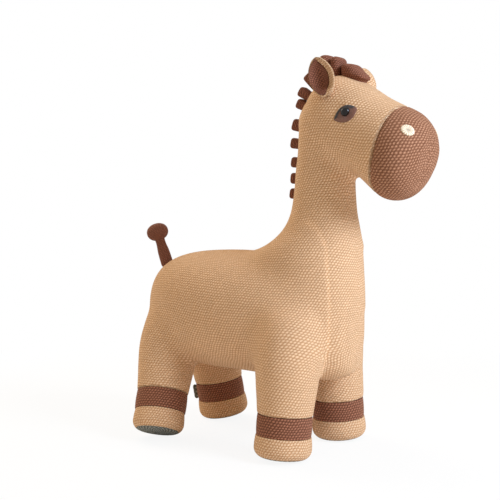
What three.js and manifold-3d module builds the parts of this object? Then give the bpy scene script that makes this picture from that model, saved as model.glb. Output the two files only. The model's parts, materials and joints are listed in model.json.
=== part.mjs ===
// Plush ride-on horse: knitted covers, stuffed firm, over a bent steel tube frame that stands on four boards.
// Millimetres. +Z is up, +X points to the nose and +Y to the horse's own left.
// Inside this file X is measured from the middle of the four feet, and the last group moves the horse
// so that the origin ends on the floor under the middle of its whole length and width.

import * as THREE from "three";
import { mergeVertices } from "three/addons/utils/BufferGeometryUtils.js";
import Module from "manifold-3d";

const wasm = await Module();
wasm.setup();

// Gap between two pieces that touch
const seam = 0.3;

// Stance: where the four soles stand, ahead of and aside from the middle of the feet, and how far each leg
// splays outwards and leans backwards as it goes up, in degrees
const stance = {
  front_right: { ahead: 184, aside: -134, splay: 5, lean: -1 },
  front_left: { ahead: 187, aside: 117, splay: 3, lean: 2 },
  rear_right: { ahead: -159, aside: -159, splay: 23.5, lean: 9.5 },
  rear_left: { ahead: -179, aside: 141, splay: 7, lean: 7 },
};
const settle = 0.5; // how far the stuffed soles flatten on the floor

// Torso
const bodyLength = 579;
const bodyShift = 8; // middle of the torso ahead of the middle of the feet
const hipWidth = 301;
const shoulderWidth = 325;
const seatHeight = 456;
const bellyHeight = 167;
const rumpHeight = 294; // height of the rearmost point
const chestHeight = 337; // height of the foremost point

// Neck and head
const neckShift = 194; // middle of the neck ahead of the middle of the feet
const neckRise = 297; // from the seat to the head's middle
const neckWidth = 131;
const neckCap = 20; // rounding of both ends, inside the torso and the head
const headShift = 62; // head's middle ahead of the neck's middle
const headLength = 238;
const headDepth = 194;
const headWidth = 170;
const headCap = 16; // rounding of the back of the head
const muzzleLength = 87;
const muzzleWidth = 194;

// Legs
const ankleRadius = 61.5;
const kneeRadius = 70;
const hipRadius = 73;
const footRadius = 65;
const footHeight = 49;
const footRounding = 22;
const bandHeight = 46;
const bandCrown = 1; // how far a band swells at its middle
const legHeight = 262; // from the sole to the hidden top of the leg's stuffing
const soleRadius = 54;
const soleThickness = 4.7;
const soleCrown = 3; // how far the stuffing pushes the sole's middle down

// Steel frame, foot boards and their bolts
const tubeRadius = 11;
const tubeWall = 2;
const tubeBend = 70;
const spineHeight = 352;
const spineRear = 190; // behind the middle of the feet
const riserFoot = 23; // where the spine turns up, behind the neck's middle
const riserHead = 18; // where the spine ends in the head, ahead of the neck's middle
const plugDepth = 20; // solid, tapped end of each leg tube
const boardRadius = 47;
const boardThickness = 12;
const boltRadius = 4;
const boltLength = 26;
const boltHeadRadius = 7.5;
const boltHeadHeight = 5.3;
const capFlange = 2.5;
const capDepth = 16;

// Eyes: on the head's skin, from the head's middle
const eyeAhead = 59;
const eyeRise = 10;
const patchBack = 3; // from the bead's middle to the patch's
const patchDrop = 5;
const eyeLength = 58;
const eyeHeight = 37;
const eyeTilt = 22; // front corner up, in degrees
const patchThickness = 2.5;
const beadRadius = 9.5;
const beadDome = 8;
const beadRim = 1.5;
const shankRadius = 2.6;
const shankLength = 17;
const washerRadius = 8;
const washerThickness = 2;
const washerDepth = 12; // under the head's skin

// Nostrils: on the muzzle's skin, from the head's middle
const nostrilAhead = 207;
const nostrilRise = -27;
const nostrilAside = 77;
const nostrilLength = 31;
const nostrilHeight = 25;
const nostrilThickness = 2.5;

// Ears: roots on the head's skin, from the head's middle
const earRise = 53;
const earAside = 65;
const earPose = {
  right: { ahead: 4, back: 16, out: 5, open: 10 }, // ahead in mm; lean back, lean out and turn in degrees
  left: { ahead: 8, back: 15, out: 25, open: -25 },
};
const earLength = 79;
const earWidth = 53;
const earHollow = 14; // depth of the cupped opening
const earWall = 6;
const liningThickness = 4;
const liningMargin = 5; // rim of the ear that shows round its lining
const earRootRadius = 9;
const earRootLength = 34;

// Mane lobes on the rear mid line of neck and head, from the withers up, and the forelock's on the head's top
const lobeWidth = 30; // across the neck
const lobeHeight = 24; // along the neck
const lobeReach = [17, 17, 19, 28, 29, 31, 37, 42];
const lobePlace = [0.12, 0.23, 0.34, 0.47, 0.59, 0.735, 0.8, 0.86]; // share of the crest's length
const lobeSink = 12; // root of a lobe that is sewn in under the skin
const forelockWidth = 38;
const forelockLobe = 48; // length of one lobe along the head
const forelockReach = [57, 45, 31, 17];
const forelockPlace = [0.13, 0.27, 0.39, 0.5]; // share of the length of the head's top
const forelockLean = [7, 1, -7, -18]; // backwards, in degrees

// Tail
const tailRootShift = -264; // on the rump's skin, from the middle of the feet
const tailRootHeight = 418;
const tailTilt = 22; // lean backwards, in degrees
const tailRootRadius = 15;
const tailTipRadius = 12.5;
const tailLength = 84; // from the root's middle to the ball's middle
const tailBallRadius = 28;
const tailBallHeight = 44;

// Blank tab in the rear seam of one band
const tabLeg = "rear_left";
const tabHeight = 38;
const tabReach = 10;
const tabThickness = 2;
const tabFacet = -6.5; // the middle of the band's seventh facet to the right of straight ahead

// Facets
const torsoFacets = { rings: 14, sides: 24 };
const neckFacets = { rings: 12, sides: 20 };
const headFacets = { rings: 10, sides: 22 };
const muzzleFacets = { rings: 6, sides: 22 };
const legSides = 16;
const washerSides = 12;
const tubeSides = 8;
const boltSides = 6;

const up = new THREE.Vector3(0, 0, 1);
const left = new THREE.Vector3(0, 1, 0);
const degrees = THREE.MathUtils.degToRad;
const sides = { right: -1, left: 1 };

// A closed three.js geometry as a solid that can be cut and joined
function solid(geometry) {
  const shape = geometry.clone();
  shape.deleteAttribute("normal");
  shape.deleteAttribute("uv");
  const merged = mergeVertices(shape, 1e-4);
  const corners = merged.index.array;
  const triangles = [];
  for (let i = 0; i < corners.length; i += 3) {
    const [a, b, c] = corners.slice(i, i + 3);
    if (a !== b && b !== c && c !== a) triangles.push(a, b, c);
  }
  const build = (order) =>
    new wasm.Manifold(
      new wasm.Mesh({
        numProp: 3,
        vertProperties: new Float32Array(merged.attributes.position.array),
        triVerts: new Uint32Array(order),
      }),
    );
  const made = build(triangles);
  return made.volume() > 0 ? made : build(triangles.reverse());
}

// A solid back as a three.js geometry
function geometryOf(shape) {
  const mesh = shape.getMesh();
  const geometry = new THREE.BufferGeometry();
  const positions = new Float32Array(mesh.vertProperties);
  geometry.setAttribute("position", new THREE.BufferAttribute(positions, mesh.numProp));
  geometry.setIndex(new THREE.BufferAttribute(new Uint32Array(mesh.triVerts), 1));
  geometry.computeVertexNormals();
  return geometry;
}

// x raised to a power with its sign kept, for rounded-square outlines
function signedPower(x, power) {
  return Math.sign(x) * Math.abs(x) ** power;
}

// Half the size of a rounded outline at a share u of its half length; a higher squareness is a blunter end
function roundedShare(u, squareness) {
  return (1 - Math.min(1, Math.abs(u)) ** squareness) ** (1 / squareness);
}

// A solid through rings of points, all with one even count; each end ring is closed straight across
function loft(rings) {
  const count = rings[0].length;
  const index = [];
  for (let i = 0; i < rings.length - 1; i++) {
    for (let j = 0; j < count; j++) {
      const a = i * count + j;
      const b = i * count + ((j + 1) % count);
      index.push(a, b, a + count, b, b + count, a + count);
    }
  }
  const last = (rings.length - 1) * count;
  for (let j = 0; j < count / 2 - 1; j++) {
    const k = count - 1 - j;
    index.push(j + 1, j, k, j + 1, k, k - 1);
    index.push(last + j, last + j + 1, last + k, last + j + 1, last + k - 1, last + k);
  }
  const geometry = new THREE.BufferGeometry();
  const positions = rings.flat().flatMap((point) => point.toArray());
  geometry.setAttribute("position", new THREE.Float32BufferAttribute(positions, 3));
  geometry.setIndex(index);
  return solid(geometry);
}

// A turned piece: an outline of radius and height pairs, carried round the Z axis and then placed
function turned(outline, count, matrix) {
  const geometry = new THREE.LatheGeometry(outline.map(([r, z]) => new THREE.Vector2(r, z)), count);
  return solid(geometry.rotateX(Math.PI / 2).applyMatrix4(matrix));
}

// A flat outline given thickness on both sides of its plane and then placed
function slab(shape, depth, matrix) {
  const geometry = new THREE.ExtrudeGeometry(shape, { depth, bevelEnabled: false, curveSegments: 5 });
  return solid(geometry.translate(0, 0, -depth / 2).applyMatrix4(matrix));
}

// A matrix with the given middle and the three given directions as its X, Y and Z
function frame(middle, x, y, z) {
  return new THREE.Matrix4().makeBasis(x, y, z).setPosition(middle);
}

// A matrix for turned pieces, which stand on any two directions across their axis
function axisFrame(middle, z) {
  const turn = new THREE.Quaternion().setFromUnitVectors(up, z);
  return new THREE.Matrix4().compose(middle, turn, new THREE.Vector3(1, 1, 1));
}

// A direction that leans from straight up, by angles in degrees, backwards and to the left
function leaning(back, toLeft) {
  return new THREE.Vector3(-Math.tan(degrees(back)), Math.tan(degrees(toLeft)), 1).normalize();
}

// A stuffed form: sections run along the horse's mid plane, and each is a rounded ring on a chord.
// A chord has two ends, from and to, in the mid plane, and a half width across it.
class StuffedForm {
  constructor(chords, facets, { squareness, startCap = 0, endCap = 0 }) {
    const curve = (list) => new THREE.CatmullRomCurve3(list, false, "centripetal");
    this.from = curve(chords.map((c) => new THREE.Vector3(c.from[0], 0, c.from[1])));
    this.to = curve(chords.map((c) => new THREE.Vector3(c.to[0], 0, c.to[1])));
    this.width = new THREE.SplineCurve(chords.map((c, i) => new THREE.Vector2(i, c.halfWidth)));
    this.facets = facets;
    this.power = 2 / squareness;
    this.caps = [startCap, endCap];
  }

  // Middle, half chord and half width of the section at t, from 0 to 1
  section(t) {
    const from = this.from.getPoint(t);
    const to = this.to.getPoint(t);
    return {
      middle: from.clone().add(to).multiplyScalar(0.5),
      half: from.clone().sub(to).multiplyScalar(0.5),
      halfWidth: this.width.getPoint(t).y,
    };
  }

  // Point on the skin: angle 0 is on the from line, 90 on the left side and 180 on the to line
  point(t, angle, grow = 0) {
    const { middle, half, halfWidth } = this.section(t);
    const along = signedPower(Math.cos(degrees(angle)), this.power);
    const across = signedPower(Math.sin(degrees(angle)), this.power);
    const reach = half.length() + grow;
    return middle
      .addScaledVector(half.normalize(), along * reach)
      .addScaledVector(left, across * (halfWidth + grow));
  }

  // The solid, its skin moved out by grow and its ends rounded off by the caps
  solid(grow = 0) {
    const capAngles = [32, 57, 76, 88];
    const { rings, sides: count } = this.facets;
    const sections = Array.from({ length: rings + 1 }, (_, i) => ({ t: i / rings, shrink: 1, push: 0 }));
    for (const turn of capAngles.map(degrees)) {
      const [atStart, atEnd] = this.caps.map((depth) => Math.sin(turn) * (depth + grow));
      if (this.caps[0]) sections.unshift({ t: 0, shrink: Math.cos(turn), push: atStart });
      if (this.caps[1]) sections.push({ t: 1, shrink: Math.cos(turn), push: atEnd });
    }
    const nearEnd = 0.02;
    const outwards = [nearEnd, 1 - nearEnd].map((t) =>
      this.section(Math.round(t)).middle.sub(this.section(t).middle).normalize(),
    );
    return loft(
      sections.map(({ t, shrink, push }) => {
        const middle = this.section(t).middle;
        return Array.from({ length: count }, (_, j) => {
          const point = this.point(t, (360 * j) / count, grow).sub(middle).multiplyScalar(shrink).add(middle);
          return push ? point.addScaledVector(outwards[t], push) : point;
        });
      }),
    );
  }

  // Point on the solid's flat facets, which lie a little inside the skin between its rings and sides
  facetPoint(t, angle) {
    const { rings, sides: count } = this.facets;
    const turn = 360 / count;
    const [ring, side] = [Math.floor(t * rings), Math.floor(angle / turn)];
    const along = (i) =>
      this.point(i / rings, side * turn).lerp(this.point(i / rings, (side + 1) * turn), angle / turn - side);
    return along(ring).lerp(along(Math.min(ring + 1, rings)), t * rings - ring);
  }

  // The place on the solid nearest to a target on its skin: its middle, the way out, and along the skin
  // the way towards the nose and the way up
  place(target) {
    const wanted = new THREE.Vector3(...target);
    const steps = 100;
    let best = { gap: Infinity };
    for (let i = 1; i < steps; i++) {
      for (let angle = -180; angle < 180; angle += 2) {
        const gap = this.point(i / steps, angle).distanceTo(wanted);
        if (gap < best.gap) best = { gap, t: i / steps, angle };
      }
    }
    const { t, angle } = best;
    const middle = this.facetPoint(t, angle);
    const along = this.point(t + 1 / steps, angle).sub(this.point(t - 1 / steps, angle));
    const around = this.point(t, angle + 2).sub(this.point(t, angle - 2));
    const out = new THREE.Vector3().crossVectors(around, along).normalize();
    if (out.dot(middle.clone().sub(this.section(t).middle)) < 0) out.negate();
    const ahead = new THREE.Vector3(1, 0, 0);
    ahead.addScaledVector(out, -ahead.dot(out)).normalize();
    const above = new THREE.Vector3().crossVectors(out, ahead).normalize();
    if (above.z < 0) above.negate();
    return { middle, out, ahead, above };
  }
}

// Materials
function material(color, roughness, metalness = 0) {
  return new THREE.MeshStandardMaterial({ color, roughness, metalness });
}

const beigeKnit = material("#e2bd8e", 0.95);
const roseKnit = material("#a87058", 0.95);
const brownKnit = material("#744733", 0.95);
const creamYarn = material("#f3dcbe", 0.95);
const greyCanvas = material("#5c5c58", 0.9);
const brownFelt = material("#8a5a45", 0.95);
const blackPlastic = material("#15110f", 0.15);
const whitePlastic = material("#d8d6d0", 0.5);
const paintedSteel = material("#33363a", 0.5, 0.6);
const zincSteel = material("#b9bcc0", 0.35, 1);
const plywood = material("#c9a777", 0.8);

const horse = new THREE.Group();

function addPiece(name, shape, look) {
  const mesh = new THREE.Mesh(geometryOf(shape), look);
  mesh.name = name;
  horse.add(mesh);
}

// Torso: a rounded box of a body, blunter seen from the side than from above, wider at the shoulders
const planSquareness = 2.3;
const sideSquareness = 3.2;
const torsoStations = 13;
const torsoReach = 0.985; // share of the half length at the last section, before the end cap

function torsoChord(i) {
  const turn = degrees(-90 + (180 * i) / (torsoStations - 1));
  const u = torsoReach * Math.sin(turn);
  const share = roundedShare(u, sideSquareness);
  const middle = THREE.MathUtils.lerp(rumpHeight, chestHeight, (u + 1) / 2);
  const x = bodyShift + (u * bodyLength) / 2;
  const width = THREE.MathUtils.lerp(hipWidth, shoulderWidth, (u + 1) / 2);
  return {
    from: [x, middle + (seatHeight - middle) * share],
    to: [x, middle - (middle - bellyHeight) * share],
    halfWidth: (width / 2) * roundedShare(u, planSquareness),
  };
}

const torsoForm = new StuffedForm(
  Array.from({ length: torsoStations }, (_, i) => torsoChord(i)),
  torsoFacets,
  {
    squareness: 2.25,
    startCap: ((1 - torsoReach) * bodyLength) / 2,
    endCap: ((1 - torsoReach) * bodyLength) / 2,
  },
);

// Neck: each row is the height as a share of the rise, how far the back and the front of the neck lie
// from its middle, and its half width as a share of half the neck's width
const neckRows = [
  [-0.4, -90, 99, 1.5],
  [-0.2, -124, 105, 1.72],
  [0.0, -148, 103, 1.76],
  [0.05, -123, 105, 1.66],
  [0.12, -95, 101, 1.48],
  [0.2, -74, 98, 1.28],
  [0.32, -59, 92, 1.12],
  [0.47, -52, 89, 1.02],
  [0.65, -47, 87, 1],
  [0.85, -37, 83, 0.98],
  [1.0, -27, 66, 0.9],
];
const neckForm = new StuffedForm(
  neckRows.map(([rise, rear, front, width]) => ({
    from: [neckShift + rear, seatHeight + rise * neckRise],
    to: [neckShift + front, seatHeight + rise * neckRise],
    halfWidth: (width * neckWidth) / 2,
  })),
  neckFacets,
  { squareness: 2.1, startCap: neckCap, endCap: neckCap },
);

// Head: each row is the top and the bottom of a section as shares of the head's length and depth,
// measured from the head's middle, and its half width as a share of half the head's width
const headMiddle = new THREE.Vector3(neckShift + headShift, 0, seatHeight + neckRise);
const headRows = [
  [-0.3, 0.29, -0.34, -0.16, 0.5],
  [-0.215, 0.425, -0.3, -0.34, 0.76],
  [-0.1, 0.51, -0.22, -0.43, 0.92],
  [0.06, 0.525, -0.09, -0.475, 1],
  [0.27, 0.412, 0.09, -0.54, 1.02],
  [0.48, 0.248, 0.24, -0.66, 1.05],
  [0.66, 0.135, 0.425, -0.855, 1.115],
];
const headForm = new StuffedForm(
  headRows.map(([topX, topZ, bottomX, bottomZ, width]) => ({
    from: [headMiddle.x + topX * headLength, headMiddle.z + topZ * headDepth],
    to: [headMiddle.x + bottomX * headLength, headMiddle.z + bottomZ * headDepth],
    halfWidth: (width * headWidth) / 2,
  })),
  headFacets,
  { squareness: 2.15, startCap: headCap },
);

// Muzzle: starts on the head's last section and swells before it rounds off at the nose.
// Each row is the reach as a share of the muzzle's length, how far the section's top and bottom ends
// draw in, and its half width as a share of half the muzzle's width
const muzzleRows = [
  [0, 0, 0, 0.977],
  [0.2, -0.012, -0.021, 0.992],
  [0.44, -0.041, -0.011, 0.97],
  [0.67, -0.103, 0.042, 0.876],
  [0.85, -0.178, 0.134, 0.698],
  [0.96, -0.258, 0.27, 0.53],
];
const headEnd = headForm.section(1);
const muzzleAhead = new THREE.Vector3().crossVectors(left, headEnd.half).normalize();
const muzzleForm = new StuffedForm(
  muzzleRows.map(([reach, top, bottom, width]) => {
    const shift = muzzleAhead.clone().multiplyScalar(seam + reach * muzzleLength);
    const topEnd = headEnd.middle.clone().addScaledVector(headEnd.half, 1 + 2 * top).add(shift);
    const bottomEnd = headEnd.middle.clone().addScaledVector(headEnd.half, -1 + 2 * bottom).add(shift);
    const halfWidth = (width * muzzleWidth) / 2;
    return { from: [topEnd.x, topEnd.z], to: [bottomEnd.x, bottomEnd.z], halfWidth };
  }),
  muzzleFacets,
  { squareness: 2.15, endCap: 0.06 * muzzleLength },
);

// Legs: each leg's own frame starts at the middle of its sole, with Z up its axis
const bandBottom = footHeight + seam;
const bandTop = bandBottom + bandHeight;
const legBottom = bandTop + seam;
const tubeBore = tubeRadius + seam;
const boardBottom = soleThickness + seam;
const boardTop = boardBottom + boardThickness;
const tubeEnd = boardTop + seam;

// Point of the foot's rounded lower edge, at an angle from straight down
function footEdge(angle) {
  const turn = degrees(angle);
  return [footRadius - footRounding * (1 - Math.sin(turn)), footRounding * (1 - Math.cos(turn))];
}

// Angle at which the foot's rounded edge has a given radius
function edgeAngle(radius) {
  return THREE.MathUtils.radToDeg(Math.asin((radius - footRadius + footRounding) / footRounding));
}

const soleEdge = edgeAngle(soleRadius);
const soleOutline = [
  [0, -soleCrown],
  [soleRadius * 0.45, -soleCrown * 0.8],
  [soleRadius * 0.74, -soleCrown * 0.3],
  footEdge(soleEdge * 0.45),
  footEdge(soleEdge),
  [soleRadius, soleThickness],
  [0, soleThickness],
];

const footPocket = boardRadius + seam;
const footOutline = [
  [footPocket, boardBottom],
  [soleRadius + seam, boardBottom],
  footEdge(edgeAngle(soleRadius + seam)),
  footEdge(55),
  footEdge(90),
  [footRadius, (footRounding + footHeight) / 2],
  [ankleRadius + bandCrown, footHeight],
  [tubeBore, footHeight],
  [tubeBore, boardTop + seam],
  [footPocket, boardTop + seam],
  [footPocket, boardBottom],
];

const bandOutline = [
  [tubeBore, bandBottom],
  [ankleRadius, bandBottom],
  [ankleRadius + bandCrown, bandBottom + bandHeight / 2],
  [ankleRadius, bandTop],
  [tubeBore, bandTop],
  [tubeBore, bandBottom],
];

const thigh = legHeight - legBottom;
const legOutline = [
  [0, legBottom],
  [ankleRadius + bandCrown, legBottom],
  [(ankleRadius + kneeRadius) / 2, legBottom + thigh * 0.2],
  [kneeRadius, legBottom + thigh * 0.42],
  [hipRadius, legBottom + thigh * 0.64],
  [hipRadius * 0.9, legBottom + thigh * 0.82],
  [hipRadius * 0.6, legBottom + thigh * 0.95],
  [0, legHeight],
];

// A leg's axis, the middle of its sole and its frame: the foot stands so that the sole settles into the floor
function legFrame(name) {
  const { ahead, aside, splay, lean } = stance[name];
  const axis = leaning(lean, -Math.sign(aside) * splay);
  const foot = new THREE.Vector3(ahead, aside, 0);
  foot.z = -settle - turned(soleOutline, legSides, axisFrame(foot, axis)).boundingBox().min[2];
  return { axis, foot, matrix: axisFrame(foot, axis) };
}

const legs = Object.fromEntries(Object.keys(stance).map((name) => [name, legFrame(name)]));

// Steel frame: a tube's middle line is straight runs joined by bends, drawn out past both ends by over
function bentPath(corners, over = 0) {
  const points = corners.map((corner) => corner.clone());
  const last = points.length - 1;
  points[0].addScaledVector(points[0].clone().sub(points[1]).normalize(), over);
  points[last].addScaledVector(points[last].clone().sub(points[last - 1]).normalize(), over);
  const path = new THREE.CurvePath();
  let start = points[0];
  for (let i = 1; i < last; i++) {
    const before = points[i - 1].clone().sub(points[i]).normalize();
    const after = points[i + 1].clone().sub(points[i]).normalize();
    const cut = tubeBend * Math.tan((Math.PI - before.angleTo(after)) / 2);
    const from = points[i].clone().addScaledVector(before, cut);
    const to = points[i].clone().addScaledVector(after, cut);
    path.add(new THREE.LineCurve3(start, from));
    path.add(new THREE.QuadraticBezierCurve3(from, points[i], to));
    start = to;
  }
  path.add(new THREE.LineCurve3(start, points[last]));
  return path;
}

// A round rod along a path
function rod(path, radius) {
  const stepLength = 4 * tubeRadius;
  const circle = new THREE.Shape();
  for (let i = 0; i < tubeSides; i++) {
    const turn = (2 * Math.PI * i) / tubeSides;
    const move = i ? "lineTo" : "moveTo";
    circle[move](radius * Math.cos(turn), radius * Math.sin(turn));
  }
  circle.closePath();
  const steps = Math.round(path.getLength() / stepLength);
  return solid(new THREE.ExtrudeGeometry(circle, { steps, extrudePath: path, bevelEnabled: false }));
}

const spineCorners = [
  new THREE.Vector3(-spineRear, 0, spineHeight),
  new THREE.Vector3(neckShift - riserFoot, 0, spineHeight),
  new THREE.Vector3(neckShift + riserHead, 0, headMiddle.z),
];
const hoopHeight = spineHeight - 2 * tubeRadius - seam;

// Corners of a hoop: up one leg, across under the spine and down the other leg
function hoopCorners(end) {
  const [right, leftLeg] = Object.keys(sides).map((side) => {
    const { axis, foot } = legs[end + "_" + side];
    const bottom = foot.clone().addScaledVector(axis, tubeEnd);
    const top = foot.clone().addScaledVector(axis, (hoopHeight - foot.z) / axis.z);
    return { bottom, top };
  });
  return [right.bottom, right.top, leftLeg.top, leftLeg.bottom];
}

const hoops = { front: hoopCorners("front"), rear: hoopCorners("rear") };
const spineTunnel = rod(bentPath(spineCorners, 2 * seam + capFlange), tubeBore);
const tunnels = Object.values(hoops)
  .map((corners) => rod(bentPath(corners, seam), tubeBore))
  .reduce((all, tunnel) => all.add(tunnel), spineTunnel);

// Body, neck and muzzle covers; each is cut by the larger ones
const torsoCut = torsoForm.solid(seam);
const neckCut = neckForm.solid(seam);
const headCut = headForm.solid(seam);
const muzzleCut = muzzleForm.solid(seam);
addPiece("torso", torsoForm.solid().subtract(tunnels), beigeKnit);
addPiece("neck", neckForm.solid().subtract(torsoCut).subtract(headCut).subtract(tunnels), beigeKnit);
addPiece("muzzle", muzzleForm.solid(), roseKnit);

// Legs, feet, soles, foot boards and bolts
const floorCut = solid(
  new THREE.BoxGeometry(2 * bodyLength, 2 * bodyLength, footRadius).translate(0, 0, -footRadius / 2),
);
const boltHeadTop = boardBottom + boltHeadHeight;
const boardOutline = [
  [boltHeadRadius + seam, boardBottom],
  [boardRadius, boardBottom],
  [boardRadius, boardTop],
  [boltRadius + seam, boardTop],
  [boltRadius + seam, boltHeadTop + seam],
  [boltHeadRadius + seam, boltHeadTop + seam],
  [boltHeadRadius + seam, boardBottom],
];
const boltOutline = [
  [0, boardBottom],
  [boltHeadRadius, boardBottom],
  [boltHeadRadius, boltHeadTop],
  [boltRadius, boltHeadTop],
  [boltRadius, boltHeadTop + boltLength],
  [0, boltHeadTop + boltLength],
];

for (const [name, { matrix }] of Object.entries(legs)) {
  const legCover = turned(legOutline, legSides, matrix).subtract(torsoCut).subtract(tunnels);
  addPiece("leg_" + name, legCover, beigeKnit);
  addPiece("band_" + name, turned(bandOutline, legSides, matrix), brownKnit);
  addPiece("foot_" + name, turned(footOutline, legSides, matrix).subtract(floorCut), beigeKnit);
  addPiece("sole_" + name, turned(soleOutline, legSides, matrix).subtract(floorCut), greyCanvas);
  addPiece("board_" + name, turned(boardOutline, legSides, matrix), plywood);
  addPiece("board_bolt_" + name, turned(boltOutline, boltSides, matrix), zincSteel);
}

// Frame tubes: hollow, the hoops with a solid tapped plug at each foot
const tubeInside = tubeRadius - tubeWall;
const spineBore = rod(bentPath(spineCorners, seam), tubeInside);
addPiece("spine_tube", rod(bentPath(spineCorners), tubeRadius).subtract(spineBore), paintedSteel);

const threadEnd = tubeEnd + plugDepth + boltRadius; // the thread opens into the tube
const thread = [
  [0, boardTop],
  [boltRadius + seam, boardTop],
  [boltRadius + seam, threadEnd],
  [0, threadEnd],
];
for (const [end, corners] of Object.entries(hoops)) {
  const tube = rod(bentPath(corners), tubeRadius).subtract(rod(bentPath(corners, -plugDepth), tubeInside));
  const hoop = Object.keys(sides).reduce(
    (cut, side) => cut.subtract(turned(thread, tubeSides, legs[end + "_" + side].matrix)),
    tube,
  );
  addPiece(end + "_hoop", hoop, paintedSteel);
}

// Plastic caps in both ends of the spine tube
const facetDepth = Math.cos(Math.PI / tubeSides); // how far a tube's facets lie from its middle, as a share
const capStem = tubeInside * facetDepth - seam;
const capRadius = tubeRadius * facetDepth;
const capOutline = [
  [0, -capDepth],
  [capStem, -capDepth],
  [capStem, seam],
  [capRadius, seam],
  [capRadius, seam + capFlange],
  [0, seam + capFlange],
];
const [spineStart, spineTurn, spineTop] = spineCorners;
for (const [name, end, before] of [["rear", spineStart, spineTurn], ["head", spineTop, spineTurn]]) {
  const outwards = end.clone().sub(before).normalize();
  addPiece("tube_cap_" + name, turned(capOutline, tubeSides, axisFrame(end, outwards)), blackPlastic);
}

// Eyes: a felt patch on the head's skin, a bead on it, and a shank through the head's cover to a washer
// The patch is an almond of two curved lids: each lid's guide points and its end, as shares of half the
// length and of the height
const upperLid = [[-0.4, 0.62], [0.52, 0.76], [1, 0.06]];
const lowerLid = [[0.68, -0.6], [-0.32, -0.7], [-1, 0]];
const almond = new THREE.Shape();
almond.moveTo(-eyeLength / 2, 0);
for (const lid of [upperLid, lowerLid]) {
  almond.bezierCurveTo(...lid.flatMap(([x, y]) => [(x * eyeLength) / 2, y * eyeHeight]));
}

const patchBottom = seam;
const patchTop = patchBottom + patchThickness;
const beadBottom = patchTop + seam;
const patchSkin = headForm.solid(patchTop);
const patchCut = headForm.solid(beadBottom);
const beadSides = 14;
const beadOutline = [
  [0, 0],
  [beadRadius, 0],
  ...[0, 25, 50, 72, 90].map((turn) => [
    beadRadius * Math.cos(degrees(turn)),
    beadBottom + beadRim + beadDome * Math.sin(degrees(turn)),
  ]),
];
const shankOutline = [
  [0, -shankLength],
  [shankRadius, -shankLength],
  [shankRadius, beadBottom + beadRim],
  [0, beadBottom + beadRim],
];
const shankHole = [
  [0, -shankLength - seam],
  [shankRadius + seam, -shankLength - seam],
  [shankRadius + seam, beadBottom],
  [0, beadBottom],
];
const washerOutline = [
  [shankRadius + seam, -washerDepth - washerThickness],
  [washerRadius, -washerDepth - washerThickness],
  [washerRadius, -washerDepth],
  [shankRadius + seam, -washerDepth],
  [shankRadius + seam, -washerDepth - washerThickness],
];
const washerPocket = [
  [0, -washerDepth - washerThickness - seam],
  [washerRadius + seam, -washerDepth - washerThickness - seam],
  [washerRadius + seam, -washerDepth + seam],
  [0, -washerDepth + seam],
];

// A frame for flat trim on a skin: X towards the nose and Y up, turned by a tilt in degrees
function trimFrame({ middle, ahead, above }, tilt) {
  const facing = new THREE.Vector3().crossVectors(ahead, above);
  return frame(middle, ahead, above, facing).multiply(new THREE.Matrix4().makeRotationZ(degrees(tilt)));
}

let headCover = headForm.solid().subtract(tunnels);
for (const [name, side] of Object.entries(sides)) {
  const eye = headForm.place([headMiddle.x + eyeAhead, (side * headWidth) / 2, headMiddle.z + eyeRise]);
  const socket = axisFrame(eye.middle, eye.out);
  const hole = turned(shankHole, tubeSides, socket);
  headCover = headCover.subtract(hole).subtract(turned(washerPocket, washerSides, socket));
  const patchMove = new THREE.Matrix4().makeTranslation(-patchBack, -patchDrop, 0);
  const patchFrame = trimFrame(eye, eyeTilt).multiply(patchMove);
  const patch = slab(almond, headWidth / 2, patchFrame).intersect(patchSkin).subtract(headCut);
  addPiece("eye_patch_" + name, patch.subtract(hole), brownFelt);
  const bead = turned(beadOutline, beadSides, socket).subtract(patchCut);
  addPiece("eye_bead_" + name, bead.add(turned(shankOutline, tubeSides, socket)), blackPlastic);
  addPiece("eye_washer_" + name, turned(washerOutline, washerSides, socket), whitePlastic);
}
addPiece("head", headCover, beigeKnit);

// Nostrils: embroidered ovals on the muzzle
const oval = new THREE.Shape();
oval.absellipse(0, 0, nostrilLength / 2, nostrilHeight / 2, 0, 2 * Math.PI);
const nostrilSkin = muzzleForm.solid(seam + nostrilThickness);
for (const [name, side] of Object.entries(sides)) {
  const target = [headMiddle.x + nostrilAhead, side * nostrilAside, headMiddle.z + nostrilRise];
  const blank = slab(oval, muzzleWidth / 4, trimFrame(muzzleForm.place(target), 0));
  addPiece("nostril_" + name, blank.intersect(nostrilSkin).subtract(muzzleCut), creamYarn);
}

// Ears: a cupped leaf on a rounded root, and a lining in its cup.
// Each row is the share of the ear's length, its half width and its depth as shares of the full ones
const earRows = [
  [0.0, 0.42, 0.15],
  [0.1, 0.58, 0.35],
  [0.2, 0.78, 0.6],
  [0.32, 0.95, 0.85],
  [0.46, 1.0, 1.0],
  [0.6, 0.92, 0.95],
  [0.74, 0.74, 0.75],
  [0.86, 0.5, 0.45],
  [0.95, 0.28, 0.2],
  [1.0, 0.12, 0.05],
];
const liningRows = earRows.slice(2, -1); // the lining stops short of the root and of the tip

// One layer of an ear, between two offsets from the cup's surface, which is bent as a parabola:
// X across the ear, Y out of its opening and Z up it
function earLayer(rows, nearSide, farSide, margin, matrix) {
  const spans = 5;
  const rings = rows.map(([rise, width, depth]) => {
    const half = (width * earWidth) / 2;
    const reach = Math.max(half - margin, half / 4);
    const edge = (offset) =>
      Array.from({ length: spans + 1 }, (_, i) => {
        const x = reach * (-1 + (2 * i) / spans);
        const cup = depth * earHollow;
        const slope = Math.atan((2 * cup * x) / half ** 2);
        const y = cup * ((x / half) ** 2 - 1);
        const aside = x - offset * Math.sin(slope);
        return new THREE.Vector3(aside, y + offset * Math.cos(slope), rise * earLength);
      });
    return [...edge(nearSide), ...edge(farSide).reverse()];
  });
  return loft(rings.map((ring) => ring.map((point) => point.applyMatrix4(matrix))));
}

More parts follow.
